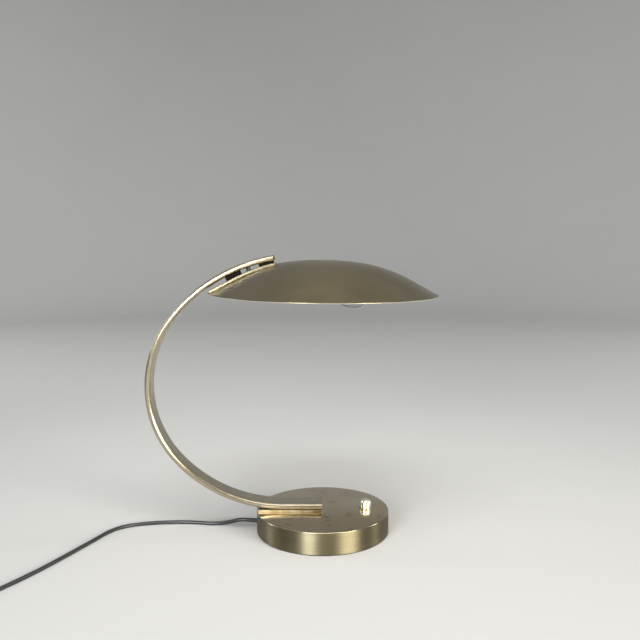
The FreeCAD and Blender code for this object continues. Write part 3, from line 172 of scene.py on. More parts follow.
def smooth_line(name, points):
    """A curve of one NURBS spline that starts at the first point and ends at the last."""
    curve = bpy.data.curves.new(name, "CURVE")
    curve.dimensions = "3D"
    curve.resolution_u = 6
    spline = curve.splines.new("NURBS")
    spline.points.add(len(points) - 1)
    for point, spot in zip(spline.points, points):
        point.co = (*spot, 1)
    spline.order_u = 3
    spline.use_endpoint_u = True
    return curve


cord_curve = smooth_line("mains_cord", cord_route + [lead_in] + coil + tail)
cord_curve.bevel_depth = CORD_RADIUS
cord_curve.bevel_resolution = 6
cord_curve.use_fill_caps = True
mains_cord = add_to_scene("mains_cord", cord_curve)

# %% [markdown]
# ## Recipes for the finishes
#
# Every finish is a small graph of nodes: a shader, and patterns that change its colour, its
# roughness or its relief from place to place. The class below keeps such a graph short to
# write. A pattern is read at the piece's own coordinates, so it stays on the metal when the
# lamp moves.

# %% A helper for node graphs
class Finish:
    """A material: its shader, and the patterns that feed it."""

    def __init__(self, name, **values):
        self.material = bpy.data.materials.new(name)
        self.material.use_nodes = True
        self.tree = self.material.node_tree
        self.tree.nodes.clear()
        self.shader = self.tree.nodes.new("ShaderNodeBsdfPrincipled")
        output = self.tree.nodes.new("ShaderNodeOutputMaterial")
        self.tree.links.new(self.shader.outputs["BSDF"], output.inputs["Surface"])
        for socket, value in values.items():
            self.feed(socket.replace("_", " "), value)

    def feed(self, socket, value):
        self.set_input(self.shader.inputs[socket], value)

    def set_input(self, socket, value):
        if isinstance(value, bpy.types.NodeSocket):
            self.tree.links.new(value, socket)
        elif socket.type == "RGBA" and len(value) == 3:
            socket.default_value = (*value, 1)
        else:
            socket.default_value = value

    def add(self, kind, inputs, output=0, **settings):
        """A node with its settings and inputs. Returns one of its outputs."""
        node = self.tree.nodes.new("ShaderNode" + kind)
        for field, value in settings.items():
            setattr(node, field, value)
        for key, value in inputs.items():
            self.set_input(node.inputs[key], value)
        return node.outputs[output]

    def sum(self, operation, a, b=0.0):
        return self.add("Math", {0: a, 1: b}, operation=operation)

    def noise(self, place, scale, detail=2.0, roughness=0.5):
        inputs = {"Vector": place, "Scale": scale, "Detail": detail, "Roughness": roughness}
        return self.add("TexNoise", inputs, "Fac")

    def between(self, value, low, high, to_low=0.0, to_high=1.0):
        """A value stretched from one range to another, and held within it."""
        inputs = {"Value": value, "From Min": low, "From Max": high, "To Min": to_low, "To Max": to_high}
        return self.add("MapRange", inputs, interpolation_type="SMOOTHSTEP")

    def mix(self, share, a, b, blend="MIX"):
        """Two colours mixed by a share."""
        return self.add("Mix", {0: share, 6: a, 7: b}, 2, data_type="RGBA", blend_type=blend)

    def bump(self, height, depth):
        return self.add("Bump", {"Height": height, "Distance": depth, "Strength": 1.0}, "Normal")


print("finishes are written with", [m for m in vars(Finish) if m[0] != "_"])

# %% [markdown]
# ## Brushed metal
#
# A spun or turned piece is brushed while it turns, so its marks run round the axis. Flat
# strip and bent tube are brushed along their length. Both are noise that is stretched far
# along the marks. Fine grooves throw light sideways, so a lamp's reflection is drawn out
# across them. The shader does that with its anisotropy, and a quarter turn of the tangent
# makes the light run across the marks and not along them. Over the marks lies a slow cloud,
# where age has turned the nickel warmer, and a few fine specks of wear. Some pieces have lost
# their plating along the edges, so brass shows there, and the foot's top has a few stains.

# %% Marks in the metal
ROUND_MARKS = 520
LENGTH_MARKS = 480


def marks_round_axis(finish):
    """Coordinates in which marks run round the piece's own Z axis."""
    finish.feed("Tangent", finish.add("Tangent", {}, direction_type="RADIAL", axis="Z"))
    place = finish.add("TexCoord", {}, "Object")
    flat = finish.add("VectorMath", {0: place, 1: (1, 1, 0)}, operation="MULTIPLY")
    out = finish.add("VectorMath", {0: flat}, 1, operation="LENGTH")
    way = finish.add("VectorMath", {0: flat}, operation="NORMALIZE")
    around = finish.add("SeparateXYZ", {0: way}, 0), finish.add("SeparateXYZ", {0: way}, 1)
    height = finish.add("SeparateXYZ", {0: place}, 2)
    across = finish.sum("MULTIPLY", finish.sum("ADD", out, height), ROUND_MARKS)
    return place, finish.add("CombineXYZ", {0: around[0], 1: around[1], 2: across})


def marks_along_strip(finish):
    """Coordinates in which marks run along a strip, from its length and width in metres."""
    finish.feed("Tangent", finish.add("Tangent", {}, direction_type="UV_MAP", uv_map="lengths"))
    place = finish.add("TexCoord", {}, "Object")
    lengths = finish.add("TexCoord", {}, "UV")
    stretch = (8, LENGTH_MARKS, 1)
    return place, finish.add("VectorMath", {0: lengths, 1: stretch}, operation="MULTIPLY")


CLOUD_SCALE = 9.0
STAIN_SCALE = 45.0
WEAR_SCALE = 60.0
SPECK_SCALE = 620.0
PATCH_SCALE = 24.0
WEAR_WIDTH = 0.0015
BRASS_WEAR = (0.43, 0.345, 0.195)
DULL_BRASS = (0.20, 0.145, 0.065)
STAIN = (0.20, 0.14, 0.07)


def brushed_metal(name, marks, tones, roughness, smear, relief=0.000006, streaks=0.25,
                  worn_from=None, wear=0.35, bare=BRASS_WEAR, stains=0.0):
    """Nickel plate: brushing, a warm cloud of age, specks, stains, and brass where edges wear.

    Wear starts at worn_from metres beside the piece's middle line.
    """
    light, warm, dark = tones
    finish = Finish(name, Metallic=1.0, Anisotropic=smear, Anisotropic_Rotation=0.25)
    place, lines = marks(finish)
    fine = finish.noise(lines, 1.0, 4.0, 0.65)
    cloud = finish.between(finish.noise(place, CLOUD_SCALE, 4.0, 0.6), 0.35, 0.68)
    colour = finish.mix(cloud, light, warm)
    colour = finish.mix(finish.between(fine, 0.35, 0.75, 0.0, streaks), colour, dark)
    if worn_from is not None:
        aside = finish.sum("ABSOLUTE", finish.add("SeparateXYZ", {0: place}, 1))
        edge = finish.between(aside, worn_from, worn_from + WEAR_WIDTH)
        rubbed = finish.noise(place, WEAR_SCALE, 3.0, 0.7)
        patchy = finish.between(rubbed, 0.3, 0.62, wear / 3, wear)
        colour = finish.mix(finish.sum("MULTIPLY", edge, patchy), colour, bare)
    if stains:
        damp = finish.noise(place, STAIN_SCALE, 5.0, 0.75)
        blots = finish.between(damp, 0.52, 0.68, 0.0, stains)
        colour = finish.mix(blots, colour, STAIN)
    specks = finish.between(finish.noise(place, SPECK_SCALE, 2.0, 0.6), 0.69, 0.76, 0.0, 0.55)
    finish.feed("Base Color", finish.mix(specks, colour, dark))
    gloss = finish.between(fine, 0.2, 0.8, roughness - 0.03, roughness + 0.04)
    patches = finish.between(finish.noise(place, PATCH_SCALE, 3.0), 0.3, 0.7, -0.02, 0.03)
    finish.feed("Roughness", finish.sum("ADD", gloss, patches))
    finish.feed("Normal", finish.bump(fine, relief))
    return finish.material


CHAMPAGNE = [(0.51, 0.465, 0.37), (0.48, 0.425, 0.315), (0.30, 0.265, 0.19)]
# The shade's nickel is darker than the arm's: partly aged patina, partly painted shade.
PATINA_AND_PAINTED_SHADE = [(0.29, 0.252, 0.155), (0.265, 0.222, 0.132), (0.17, 0.145, 0.09)]
# Lit and shaded copies of one nickel for the foot: the top is painted lighter as painted light, the side darker as
# painted shade.
FOOT_TOP_LIT = [(0.60, 0.52, 0.37), (0.51, 0.425, 0.28), (0.34, 0.28, 0.18)]
FOOT_SIDE_SHADED = [(0.245, 0.22, 0.145), (0.23, 0.195, 0.115), (0.13, 0.11, 0.06)]
shade_nickel = brushed_metal("shade_nickel", marks_round_axis, PATINA_AND_PAINTED_SHADE, 0.30, 0.5, 0.0000006, 0.15)
foot_side_shaded_nickel = brushed_metal("foot_side_shaded_nickel", marks_round_axis, FOOT_SIDE_SHADED, 0.50, 0.98)
foot_top_lit_nickel = brushed_metal("foot_top_lit_nickel", marks_round_axis, FOOT_TOP_LIT, 0.13, 0.3,
                                0.000001, 0.15, stains=0.55)
strip_nickel = brushed_metal("strip_nickel", marks_along_strip, CHAMPAGNE, 0.24, 0.6, worn_from=0.0142)
print("brushed:", [m.name for m in bpy.data.materials if m.name.endswith("nickel")])

# %% [markdown]
# ## Other finishes
#
# Inside the lamp are plain parts: zinc-plated steel, a grey iron casting, brass, ceramic and
# moulded plastic. Each has one pattern that tells it from the rest, such as the casting's
# coarse skin or the felt's fibres. The bulb's glass is tinted dark where it is seen edge on,
# a painted shade that stands in for the dark outline that a real bulb shows.

# %% Plain finishes with one pattern each
def grained(name, colour, shade, scale, relief, roughness, **values):
    """A finish whose grain changes its colour, its relief and a little of its gloss."""
    finish = Finish(name, **values)
    place = finish.add("TexCoord", {}, "Object")
    grain = finish.noise(place, scale, 4.0, 0.6)
    share = finish.between(grain, 0.3, 0.7)
    finish.feed("Base Color", finish.mix(share, colour, shade))
    finish.feed("Roughness", finish.between(grain, 0.3, 0.7, roughness - 0.05, roughness + 0.05))
    finish.feed("Normal", finish.bump(grain, relief))
    return finish.material


finishes = {
    # The guides' fibre is near black with almost no gloss: partly its own black, partly painted shade for the
    # shadow under the arm.
    "dark_fibre": grained("dark_fibre", (0.006, 0.005, 0.004), (0.010, 0.008, 0.006), 900,
                          0.00002, 0.7, Specular_IOR_Level=0.05),
    "felt": grained("felt", (0.018, 0.022, 0.018), (0.045, 0.05, 0.042), 2500, 0.0003, 0.95),
    "steel": grained("steel", (0.42, 0.42, 0.41), (0.5, 0.49, 0.46), 300, 0.00001, 0.35, Metallic=1.0),
    "cast_iron": grained("cast_iron", (0.09, 0.088, 0.085), (0.15, 0.14, 0.13), 700,
                         0.0002, 0.7, Metallic=0.6),
    "brass": grained("brass", (0.50, 0.37, 0.17), (0.42, 0.30, 0.13), 300, 0.00001, 0.32, Metallic=1.0),
    "holder_metal": grained("holder_metal", (0.5, 0.49, 0.46), (0.4, 0.38, 0.34), 200,
                            0.00001, 0.32, Metallic=1.0),
    "ceramic": grained("ceramic", (0.8, 0.78, 0.72), (0.7, 0.67, 0.6), 250, 0.00002, 0.3),
    "black_plastic": grained("black_plastic", (0.02, 0.02, 0.02), (0.035, 0.035, 0.034), 1200,
                             0.00001, 0.4),
    "pale_plastic": grained("pale_plastic", (0.62, 0.6, 0.52), (0.5, 0.48, 0.4), 600, 0.00001, 0.45),
    "black_rubber": grained("black_rubber", (0.017, 0.017, 0.017), (0.03, 0.03, 0.03), 900,
                            0.00003, 0.6),
    "cord_sheath": grained("cord_sheath", (0.014, 0.014, 0.015), (0.026, 0.026, 0.027), 500,
                           0.00002, 0.33),
    "wire_sheath": grained("wire_sheath", (0.30, 0.24, 0.18), (0.38, 0.31, 0.24), 900, 0.00001, 0.4),
    "bulb_metal": grained("bulb_metal", (0.62, 0.6, 0.57), (0.5, 0.48, 0.45), 400,
                          0.00001, 0.25, Metallic=1.0),
    "filament": grained("filament", (0.12, 0.11, 0.1), (0.2, 0.19, 0.17), 4000,
                        0.00001, 0.5, Metallic=1.0),
    "plug_pins": grained("plug_pins", (0.7, 0.68, 0.62), (0.6, 0.57, 0.5), 500,
                         0.00001, 0.22, Metallic=1.0),
    "white_lacquer": grained("white_lacquer", (0.78, 0.76, 0.70), (0.74, 0.71, 0.63), 40,
                             0.00002, 0.45),
}
print(len(finishes), "plain finishes")

# %% Clear glass
def clear_glass():
    """Thin lamp glass, with the faint waves that blowing leaves in it, and a painted dark outline."""
    finish = Finish("bulb_glass", Transmission_Weight=1.0, IOR=1.5)
    place = finish.add("TexCoord", {}, "Object")
    waves = finish.noise(place, 30.0, 1.0)
    # Painted shade: the glass's colour turns dark where it is seen edge on.
    rim = finish.between(finish.add("LayerWeight", {"Blend": 0.5}, "Facing"), 0.25, 0.85)
    finish.feed("Base Color", finish.mix(rim, (0.93, 0.94, 0.94), (0.12, 0.13, 0.13)))
    finish.feed("Roughness", finish.between(waves, 0.3, 0.7, 0.0, 0.015))
    finish.feed("Normal", finish.bump(waves, 0.00002))
    return finish.material


finishes["bulb_glass"] = clear_glass()
print("glass is", finishes["bulb_glass"].name)

# %% [markdown]
# ## The studio
#
# Metal shows what stands round it, so the room matters as much as the lamps. The floor is a
# pale sheet that curves up into a wall all round, like the paper sweep of a studio, so no
# line shows where floor and wall meet. Two soft boxes stand in front, left and right of the
# camera. They draw the two upright bands on the foot's side and the bright line along the
# arm. Each has a grid, so its light reaches the lamp and not the floor below itself. A weak
# box overhead lights the foot's round edge, and two more light the wall behind. No box shows
# in a picture, and a dim sky fills the rest.

# %% Roll out the floor
SWEEP_FLAT = 3.2
SWEEP_BEND = 1.6
SWEEP_HIGH = 3.4


def revolve(outline, turns):
    """A mesh that spins a line of (radius, height) points round Z. A radius of 0 is one point."""
    mesh = bmesh.new()
    rings = []
    for radius, height in outline:
        if radius == 0:
            rings.append([mesh.verts.new((0, 0, height))] * turns)
            continue
        angles = [2 * math.pi * step / turns for step in range(turns)]
        rings.append([mesh.verts.new((radius * math.cos(a), radius * math.sin(a), height)) for a in angles])
    for inner, outer in zip(rings, rings[1:]):
        for step in range(turns):
            after = (step + 1) % turns
            corners = [inner[step], outer[step], outer[after], inner[after]]
            mesh.faces.new(list(dict.fromkeys(corners)))
    bmesh.ops.recalc_face_normals(mesh, faces=mesh.faces)
    return mesh


def mesh_object(name, mesh, sharp=35):
    """An object of a finished mesh, smooth but for its sharp edges."""
    data = bpy.data.meshes.new(name)
    mesh.to_mesh(data)
    mesh.free()
    data.shade_smooth()
    data.set_sharp_from_angle(angle=math.radians(sharp))
    return add_to_scene(name, data)


bend_steps = 12
sweep_line = [(0, 0), (1.0, 0), (SWEEP_FLAT, 0)]
for step in range(1, bend_steps + 1):
    turn = math.radians(90) * step / bend_steps
    sweep_line.append((SWEEP_FLAT + SWEEP_BEND * math.sin(turn), SWEEP_BEND * (1 - math.cos(turn))))
sweep_line.append((SWEEP_FLAT + SWEEP_BEND, SWEEP_HIGH))
floor = mesh_object("studio_floor", revolve(sweep_line, 96))
paper = grained("studio_paper", (0.50, 0.50, 0.494), (0.495, 0.495, 0.489), 4.0, 0.0, 0.85)
floor.data.materials.append(paper)
print("the floor is flat to", SWEEP_FLAT, "m")

# %% Hang the lamps
def soft_box(name, place, aim, wide, high, watts, colour=(1, 1, 1), spread=180):
    """A soft lamp of a given size that looks at a point, and spreads by some degrees."""
    light = bpy.data.lights.new(name, "AREA")
    light.shape = "RECTANGLE"
    light.size = wide
    light.size_y = high
    light.energy = watts
    light.color = colour
    light.spread = math.radians(spread)
    box = add_to_scene(name, light)
    box.location = place
    box.rotation_euler = (Vector(aim) - Vector(place)).to_track_quat("-Z", "Y").to_euler()
    box.visible_camera = False
    return box


LAMP_AIM = (-0.02, 0, 0.2)
WALL_AIM = (0, 4.6, 0.6)
GRID_SPREAD = 64
CEILING_SPREAD = 100
WHITE_LIGHT = (1, 1, 1)
WARM_LIGHT = (1, 0.96, 0.86)
soft_box("left_box", (-1.0, -2.4, 0.8), LAMP_AIM, 0.95, 1.0, 11, WHITE_LIGHT, GRID_SPREAD)
soft_box("right_box", (1.79, -1.89, 0.8), LAMP_AIM, 1.4, 1.0, 17, WARM_LIGHT, GRID_SPREAD)
soft_box("ceiling_box", (0, -1.3, 2.5), LAMP_AIM, 2.4, 0.7, 12, WHITE_LIGHT, CEILING_SPREAD)
soft_box("left_wall_box", (-2.6, 0.6, 1.3), WALL_AIM, 1.0, 1.6, 38)
soft_box("right_wall_box", (2.6, 0.6, 1.3), WALL_AIM, 1.0, 1.6, 38)
world = bpy.data.worlds.new("studio_sky")
world.use_nodes = True
sky = world.node_tree.nodes["Background"]
sky.inputs["Color"].default_value = (0.62, 0.63, 0.62, 1)
sky.inputs["Strength"].default_value = 0.62
scene.world = world
scene.view_settings.view_transform = "Standard"

# %% [markdown]
# ## Tools for turned and bent pieces
#
# Most of this lamp came from a lathe or a bending machine, so two tools make nearly all of
# it. The first turns an outline round an axis. The second draws a section along a path. Both
# need rounded corners, because a real edge always catches a line of light and a perfectly
# sharp one never does.

# %% Round the corners of an outline
def softened(corners, steps=4):
    """A closed outline of (x, y, rounding) corners, with an arc in place of each rounded one."""
    spots = []
    for index, (x, y, rounding) in enumerate(corners):
        corner = Vector((x, y))
        if rounding == 0:
            spots.append(corner)
            continue
        back = (Vector(corners[index - 1][:2]) - corner).normalized()
        on = (Vector(corners[(index + 1) % len(corners)][:2]) - corner).normalized()
        half = back.angle(on) / 2
        middle = corner + (back + on).normalized() * rounding / math.sin(half)
        first = (corner + back * rounding / math.tan(half) - middle).normalized()
        last = (corner + on * rounding / math.tan(half) - middle).normalized()
        spots += [middle + first.slerp(last, step / steps) * rounding for step in range(steps + 1)]
    return spots


def place_piece(thing, body, stands_for, finish):
    """Set a piece on its body, in place of its model pieces, with its finish."""
    thing.data.materials.append(finish)
    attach(thing, body)
    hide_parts(*stands_for)
    box = [thing.matrix_world @ Vector(corner) for corner in thing.bound_box]
    high = max(corner.z for corner in box) - min(corner.z for corner in box)
    print(thing.name, "stands for", ", ".join(stands_for), "and is", round(high * 1000, 1), "mm high")
    return thing


def second_finish(thing, finish, chosen):
    """Give the faces that a test chooses another finish."""
    thing.data.materials.append(finish)
    for face in thing.data.polygons:
        if chosen(face):
            face.material_index = 1


def turned_piece(name, outline, turns=96, place=None, sharp=35):
    """Turn a closed outline of (radius, height) points. It may start and end on the axis."""
    closed = outline if outline[0][0] == 0 else outline + outline[:1]
    mesh = revolve([tuple(spot) for spot in closed], turns)
    bmesh.ops.remove_doubles(mesh, verts=mesh.verts, dist=1e-7)
    bmesh.ops.recalc_face_normals(mesh, faces=mesh.faces)
    thing = mesh_object(name, mesh, sharp)
    thing.matrix_world = place or Matrix.Identity(4)
    return thing


def join_rings(mesh, outer, inner):
    """Close the end between an outer and an inner ring of as many points."""
    for side in range(len(outer)):
        following = (side + 1) % len(outer)
        mesh.faces.new([outer[side], outer[following], inner[following], inner[side]])


def slab(name, outline, low, high, rounding, steps=3):
    """An outline in plan, drawn up from a low to a high level, with soft edges."""
    form = bmesh.new()
    rings = [[form.verts.new((p.x, p.y, z)) for p in outline] for z in (low, high)]
    join_rings(form, *rings)
    form.faces.new(rings[0])
    form.faces.new(rings[1])
    bmesh.ops.recalc_face_normals(form, faces=form.faces)
    thing = mesh_object(name, form, 80)
    edge = thing.modifiers.new("edge", "BEVEL")
    edge.width = rounding
    edge.segments = steps
    edge.limit_method = "ANGLE"
    edge.angle_limit = math.radians(60)
    return thing


print("an outline's corners are softened in", len(softened([(0, 0, 0.1), (1, 0, 0), (1, 1, 0)])), "points")

# %% [markdown]
# ## The foot
#
# The foot's cover is a spun cap, pulled over an iron weight. Its top is brushed so finely that
# the arm and the knob mirror in it, and its rim is rolled to a small round edge that shows as
# a bright line. It is turned here from its outline. Its side takes a darker copy of the nickel
# than its top: painted shade on the side and painted light on the top.

# %% Turn the foot's cover
BASE_HIGH = 0.0330
COVER_WALL = 0.0015
COVER_EDGE = 0.0014
COVER_LOW = 0.0015
cover_inside = FOOT_RADIUS - COVER_WALL
cover_outline = softened([
    (0, BASE_HIGH, 0),
    (FOOT_RADIUS, BASE_HIGH, COVER_EDGE),
    (FOOT_RADIUS, COVER_LOW, COVER_EDGE / 2),
    (cover_inside, COVER_LOW, 0),
    (cover_inside, BASE_HIGH - COVER_WALL, 0),
    (0, BASE_HIGH - COVER_WALL, 0),
])
foot_cover = turned_piece("foot_cover", cover_outline, 160)
place_piece(foot_cover, "root", ["base_cover"], foot_side_shaded_nickel)
# The faces that look up take the lighter copy and the side keeps the darker one: painted light and painted shade.
TOP_FACING = 0.3
second_finish(foot_cover, foot_top_lit_nickel, lambda face: face.normal.z > TOP_FACING)

# %% [markdown]
# ## The plate under the arm
#
# A flat strip lies between the arm and the cover and ends a little inside the cover's edge.
# The nickel has worn off its long edges, so the brass below shows there as a yellow line.

# %% Shape the plate under the arm
FOOT_PLATE = 0.0034
FOOT_END = 0.001
PLATE_INSET = 0.0006
ARM_WIDE = 0.036
plate_reach = FOOT_RADIUS - PLATE_INSET
plate_turn = math.asin(ARM_WIDE / 2 / plate_reach)
plate_plan = [Vector((-FOOT_END, ARM_WIDE / 2)), Vector((-FOOT_END, -ARM_WIDE / 2))]
PLATE_STEPS = 10
for step in range(PLATE_STEPS + 1):
    turn = math.pi + plate_turn * (1 - 2 * step / PLATE_STEPS)
    plate_plan.append(Vector((math.cos(turn), math.sin(turn))) * plate_reach)


def marks_along_length(finish):
    """Coordinates in which marks run along X."""
    place = finish.add("TexCoord", {}, "Object")
    stretch = (12, LENGTH_MARKS, LENGTH_MARKS)
    return place, finish.add("VectorMath", {0: place, 1: stretch}, operation="MULTIPLY")


flat_nickel = brushed_metal("flat_nickel", marks_along_length, CHAMPAGNE, 0.30, 0.0,
                            worn_from=0.0165, wear=0.9, bare=DULL_BRASS)
plate = slab("foot_plate", plate_plan, BASE_HIGH, BASE_HIGH + FOOT_PLATE, 0.0004)
place_piece(plate, "root", ["arm_foot_plate"], flat_nickel)

# %% [markdown]
# ## The push button
#
# The knob is a small bullet of polished nickel that has gone a little dull. It sinks into a
# low brass collar, which shows as a thin yellow ring. A groove runs round the knob just above
# the collar.

# %% Turn the knob and its collar
BUTTON_AT = Matrix.Translation((0.0658, 0, 0))
KNOB_RADIUS = 0.0087
KNOB_HIGH = 0.0153
KNOB_SKIRT = 0.0052
KNOB_INSIDE = 0.007
KNOB_ROOF = 0.0018
KNOB_GROOVE = 0.0008
GROOVE_LIFT = 0.0012
knob_low = BASE_HIGH - KNOB_SKIRT
groove_low = BASE_HIGH + GROOVE_LIFT
groove_high = groove_low + KNOB_GROOVE
knob_outline = softened([
    (0, BASE_HIGH + KNOB_HIGH, 0),
    (KNOB_RADIUS, BASE_HIGH + KNOB_HIGH, KNOB_RADIUS * 0.999),
    (KNOB_RADIUS, groove_high, 0.0003),
    (KNOB_RADIUS - KNOB_GROOVE, groove_high, 0),
    (KNOB_RADIUS - KNOB_GROOVE, groove_low, 0),
    (KNOB_RADIUS, groove_low, 0.0002),
    (KNOB_RADIUS, knob_low, 0.0003),
    (KNOB_INSIDE, knob_low, 0),
    (KNOB_INSIDE, BASE_HIGH + KNOB_ROOF, 0),
    (0, BASE_HIGH + KNOB_ROOF, 0),
], 10)
polished = Finish("polished_nickel", Metallic=1.0)
RUB_SCALE = 500.0
BRIGHT_NICKEL = (0.78, 0.73, 0.61)
RUBBED_NICKEL = (0.70, 0.64, 0.51)
rub = polished.noise(polished.add("TexCoord", {}, "Object"), RUB_SCALE, 3.0)
rubbed_share = polished.between(rub, 0.4, 0.7)
polished.feed("Base Color", polished.mix(rubbed_share, BRIGHT_NICKEL, RUBBED_NICKEL))
polished.feed("Roughness", polished.between(rub, 0.3, 0.7, 0.27, 0.33))
knob = turned_piece("knob", knob_outline, 64, BUTTON_AT)
place_piece(knob, "button", ["button_cap"], polished.material)

COLLAR_BORE = 0.0090
COLLAR_BARREL = 0.0100
COLLAR_RADIUS = 0.0106
COLLAR_HIGH = 0.0011
COLLAR_DEEP = 0.0077
collar_low = BASE_HIGH - COVER_WALL - COLLAR_DEEP
collar_outline = softened([
    (COLLAR_BORE, collar_low, 0),
    (COLLAR_BARREL, collar_low, 0),
    (COLLAR_BARREL, BASE_HIGH, 0),
    (COLLAR_RADIUS, BASE_HIGH, 0),
    (COLLAR_RADIUS, BASE_HIGH + COLLAR_HIGH, COLLAR_HIGH / 3),
    (COLLAR_BORE, BASE_HIGH + COLLAR_HIGH, COLLAR_HIGH / 6),
])
collar = turned_piece("knob_collar", collar_outline, 64, BUTTON_AT)
place_piece(collar, "root", ["switch_collar"], finishes["brass"])

# %% [markdown]
# ## The spring under the knob
#
# A spring pushes the knob up again. It stands on the switch and reaches the knob's roof, so it
# gets shorter by as much as the knob goes down.

# %% Wind the spring
SPRING_RADIUS = 0.0046
SPRING_WIRE = 0.00045
SPRING_TURNS = 4.5
SPRING_STEPS = 108
spring_room = BASE_HIGH + KNOB_ROOF - collar_low
helix = []
for step in range(SPRING_STEPS + 1):
    share = step / SPRING_STEPS
    turn = 2 * math.pi * SPRING_TURNS * share
    lift = collar_low + SPRING_WIRE + (spring_room - 2 * SPRING_WIRE) * share
    out = Vector((math.cos(turn), math.sin(turn), 0)) * SPRING_RADIUS
    helix.append(BUTTON_AT @ (out + Vector((0, 0, lift))))
spring_curve = smooth_line("spring_line", helix)
spring_curve.bevel_depth = SPRING_WIRE
spring_curve.use_fill_caps = True
spring_line = add_to_scene("spring_line", spring_curve)
spring = add_to_scene("knob_spring", bpy.data.meshes.new_from_object(spring_line))
bpy.data.objects.remove(spring_line)
place_piece(spring, "root", ["switch_spring"], finishes["steel"])
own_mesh(spring)

# %% [markdown]
# ## The arm's line
#
# The arm is a flat oval tube that runs straight over the foot and then round three bends, each
# tangent to the next. The middle bend is the tightest. The shade slides on the last bend, so
# that bend's centre is the shade's joint, and its place comes from the model.

# %% Follow the arm's bends
ARM_THICK = 0.0087
ARM_WALL = 0.00125
FOOT_FLAT = 0.059
UPPER_RADIUS = 0.2486
END_ANGLE = 9.05
ARM_BENDS = [(0.2252, 46.3), (0.1673, 79.6), (UPPER_RADIUS, 180 - END_ANGLE - 46.3 - 79.6)]


def inward(turn):
    """The direction from the arm's outer face to the bend's centre, after a turn in degrees."""
    return Vector((math.sin(math.radians(turn)), 0, math.cos(math.radians(turn))))


def arm_stations(step=1.5):
    """Places along the tube's middle line, each with its inward direction and distance."""
    spot = Vector((-FOOT_END, 0, BASE_HIGH + FOOT_PLATE))
    middle = ARM_THICK / 2
    stations = [(spot + inward(0) * middle, inward(0), 0.0)]
    spot = spot - Vector((FOOT_FLAT, 0, 0))
    turn, run = 0.0, FOOT_FLAT
    stations.append((spot + inward(0) * middle, inward(0), run))
    for radius, angle in ARM_BENDS:
        centre = spot + inward(turn) * radius
        parts = math.ceil(angle / step)
        for part in range(1, parts + 1):
            at = turn + angle * part / parts
            spot = centre - inward(at) * radius
            gone = run + math.radians(at - turn) * radius
            stations.append((spot + inward(at) * middle, inward(at), gone))
        turn += angle
        run = stations[-1][2]
    return stations, centre


stations, slide_centre = arm_stations()
print(len(stations), "stations, tube length", round(stations[-1][2], 3), "m")

# %% Draw the tube along its line
def oval_section(wide, thick, steps=8):
    """A flat oval with round sides, as (across, inward) points and the distance round it."""
    half, r = (wide - thick) / 2, thick / 2
    spots = [Vector((half * (share - 1), -r)) for share in (0.0, 0.5, 1.0, 1.5)]
    for step in range(steps + 1):
        turn = math.radians(-90 + 180 * step / steps)
        spots.append(Vector((half + r * math.cos(turn), r * math.sin(turn))))
    spots += [Vector((half * (1 - share), r)) for share in (0.5, 1.0, 1.5)]
    for step in range(steps + 1):
        turn = math.radians(90 + 180 * step / steps)
        spots.append(Vector((-half + r * math.cos(turn), r * math.sin(turn))))
    return spots[:-1]


def drawn(section, stops, mesh, lengths):
    """Draw a section along some stations. The mesh's lengths hold each corner's run and girth."""
    girth = [0.0]
    for before, after in zip(section, section[1:] + section[:1]):
        girth.append(girth[-1] + (after - before).length)
    rings = []
    for spot, way_in, run in stops:
        rings.append([mesh.verts.new(spot + way_in * p.y + Vector((0, p.x, 0))) for p in section])
    count = len(section)
    for (low, high), (stop, after_stop) in zip(zip(rings, rings[1:]), zip(stops, stops[1:])):
        for side in range(count):
            following = (side + 1) % count
            face = mesh.faces.new([low[side], low[following], high[following], high[side]])
            at = [(stop[2], girth[side]), (stop[2], girth[side + 1])]
            at += [(after_stop[2], girth[side + 1]), (after_stop[2], girth[side])]
            for loop, uv in zip(face.loops, at):
                loop[lengths].uv = uv
    return rings


tube = bmesh.new()
tube_lengths = tube.loops.layers.uv.new("lengths")
outer_rings = drawn(oval_section(ARM_WIDE, ARM_THICK), stations, tube, tube_lengths)
inner_section = oval_section(ARM_WIDE - 2 * ARM_WALL, ARM_THICK - 2 * ARM_WALL)
inner_rings = drawn(inner_section, stations, tube, tube_lengths)
join_rings(tube, outer_rings[0], inner_rings[0])
join_rings(tube, outer_rings[-1], inner_rings[-1])
bmesh.ops.recalc_face_normals(tube, faces=tube.faces)
arm = mesh_object("arm", tube, 50)
print("the arm has", len(arm.data.polygons), "faces")

# %% [markdown]
# ## The slot under the arm
#
# Two guides on the shade hang in a slot that is cut in the tube's under side. A second form is
# drawn round the same bend, a little longer than the guides' travel, and taken out of the tube.

# %% Cut the slot
SLOT_WIDE = 0.012
CAP_THICK = 0.002
REAR_GUIDE_END = 27.9
SLIDE_GAP = 0.0003
SLIDE_RANGE = frame["joints"][0]["range_deg"][1]
under_radius = UPPER_RADIUS - ARM_THICK
gap_angle = math.degrees(SLIDE_GAP / under_radius)
slot_start = END_ANGLE + math.degrees(CAP_THICK / under_radius)
slot_end = REAR_GUIDE_END + SLIDE_RANGE + gap_angle


def bar_round_slide(low, high, wide, start, end, parts=16):
    """A closed bar round the slide's centre, between two radii and two angles from upright."""
    bar = bmesh.new()
    rings = []
    for part in range(parts + 1):
        angle = math.radians(start + (end - start) * part / parts)
        out = Vector((-math.sin(angle), 0, math.cos(angle)))
        corners = [(low, -wide / 2), (low, wide / 2), (high, wide / 2), (high, -wide / 2)]
        rings.append([bar.verts.new(slide_centre + out * r + Vector((0, y, 0))) for r, y in corners])
    for before, after in zip(rings, rings[1:]):
        join_rings(bar, before, after)
    bar.faces.new(rings[0])
    bar.faces.new(rings[-1])
    bmesh.ops.recalc_face_normals(bar, faces=bar.faces)
    return bar


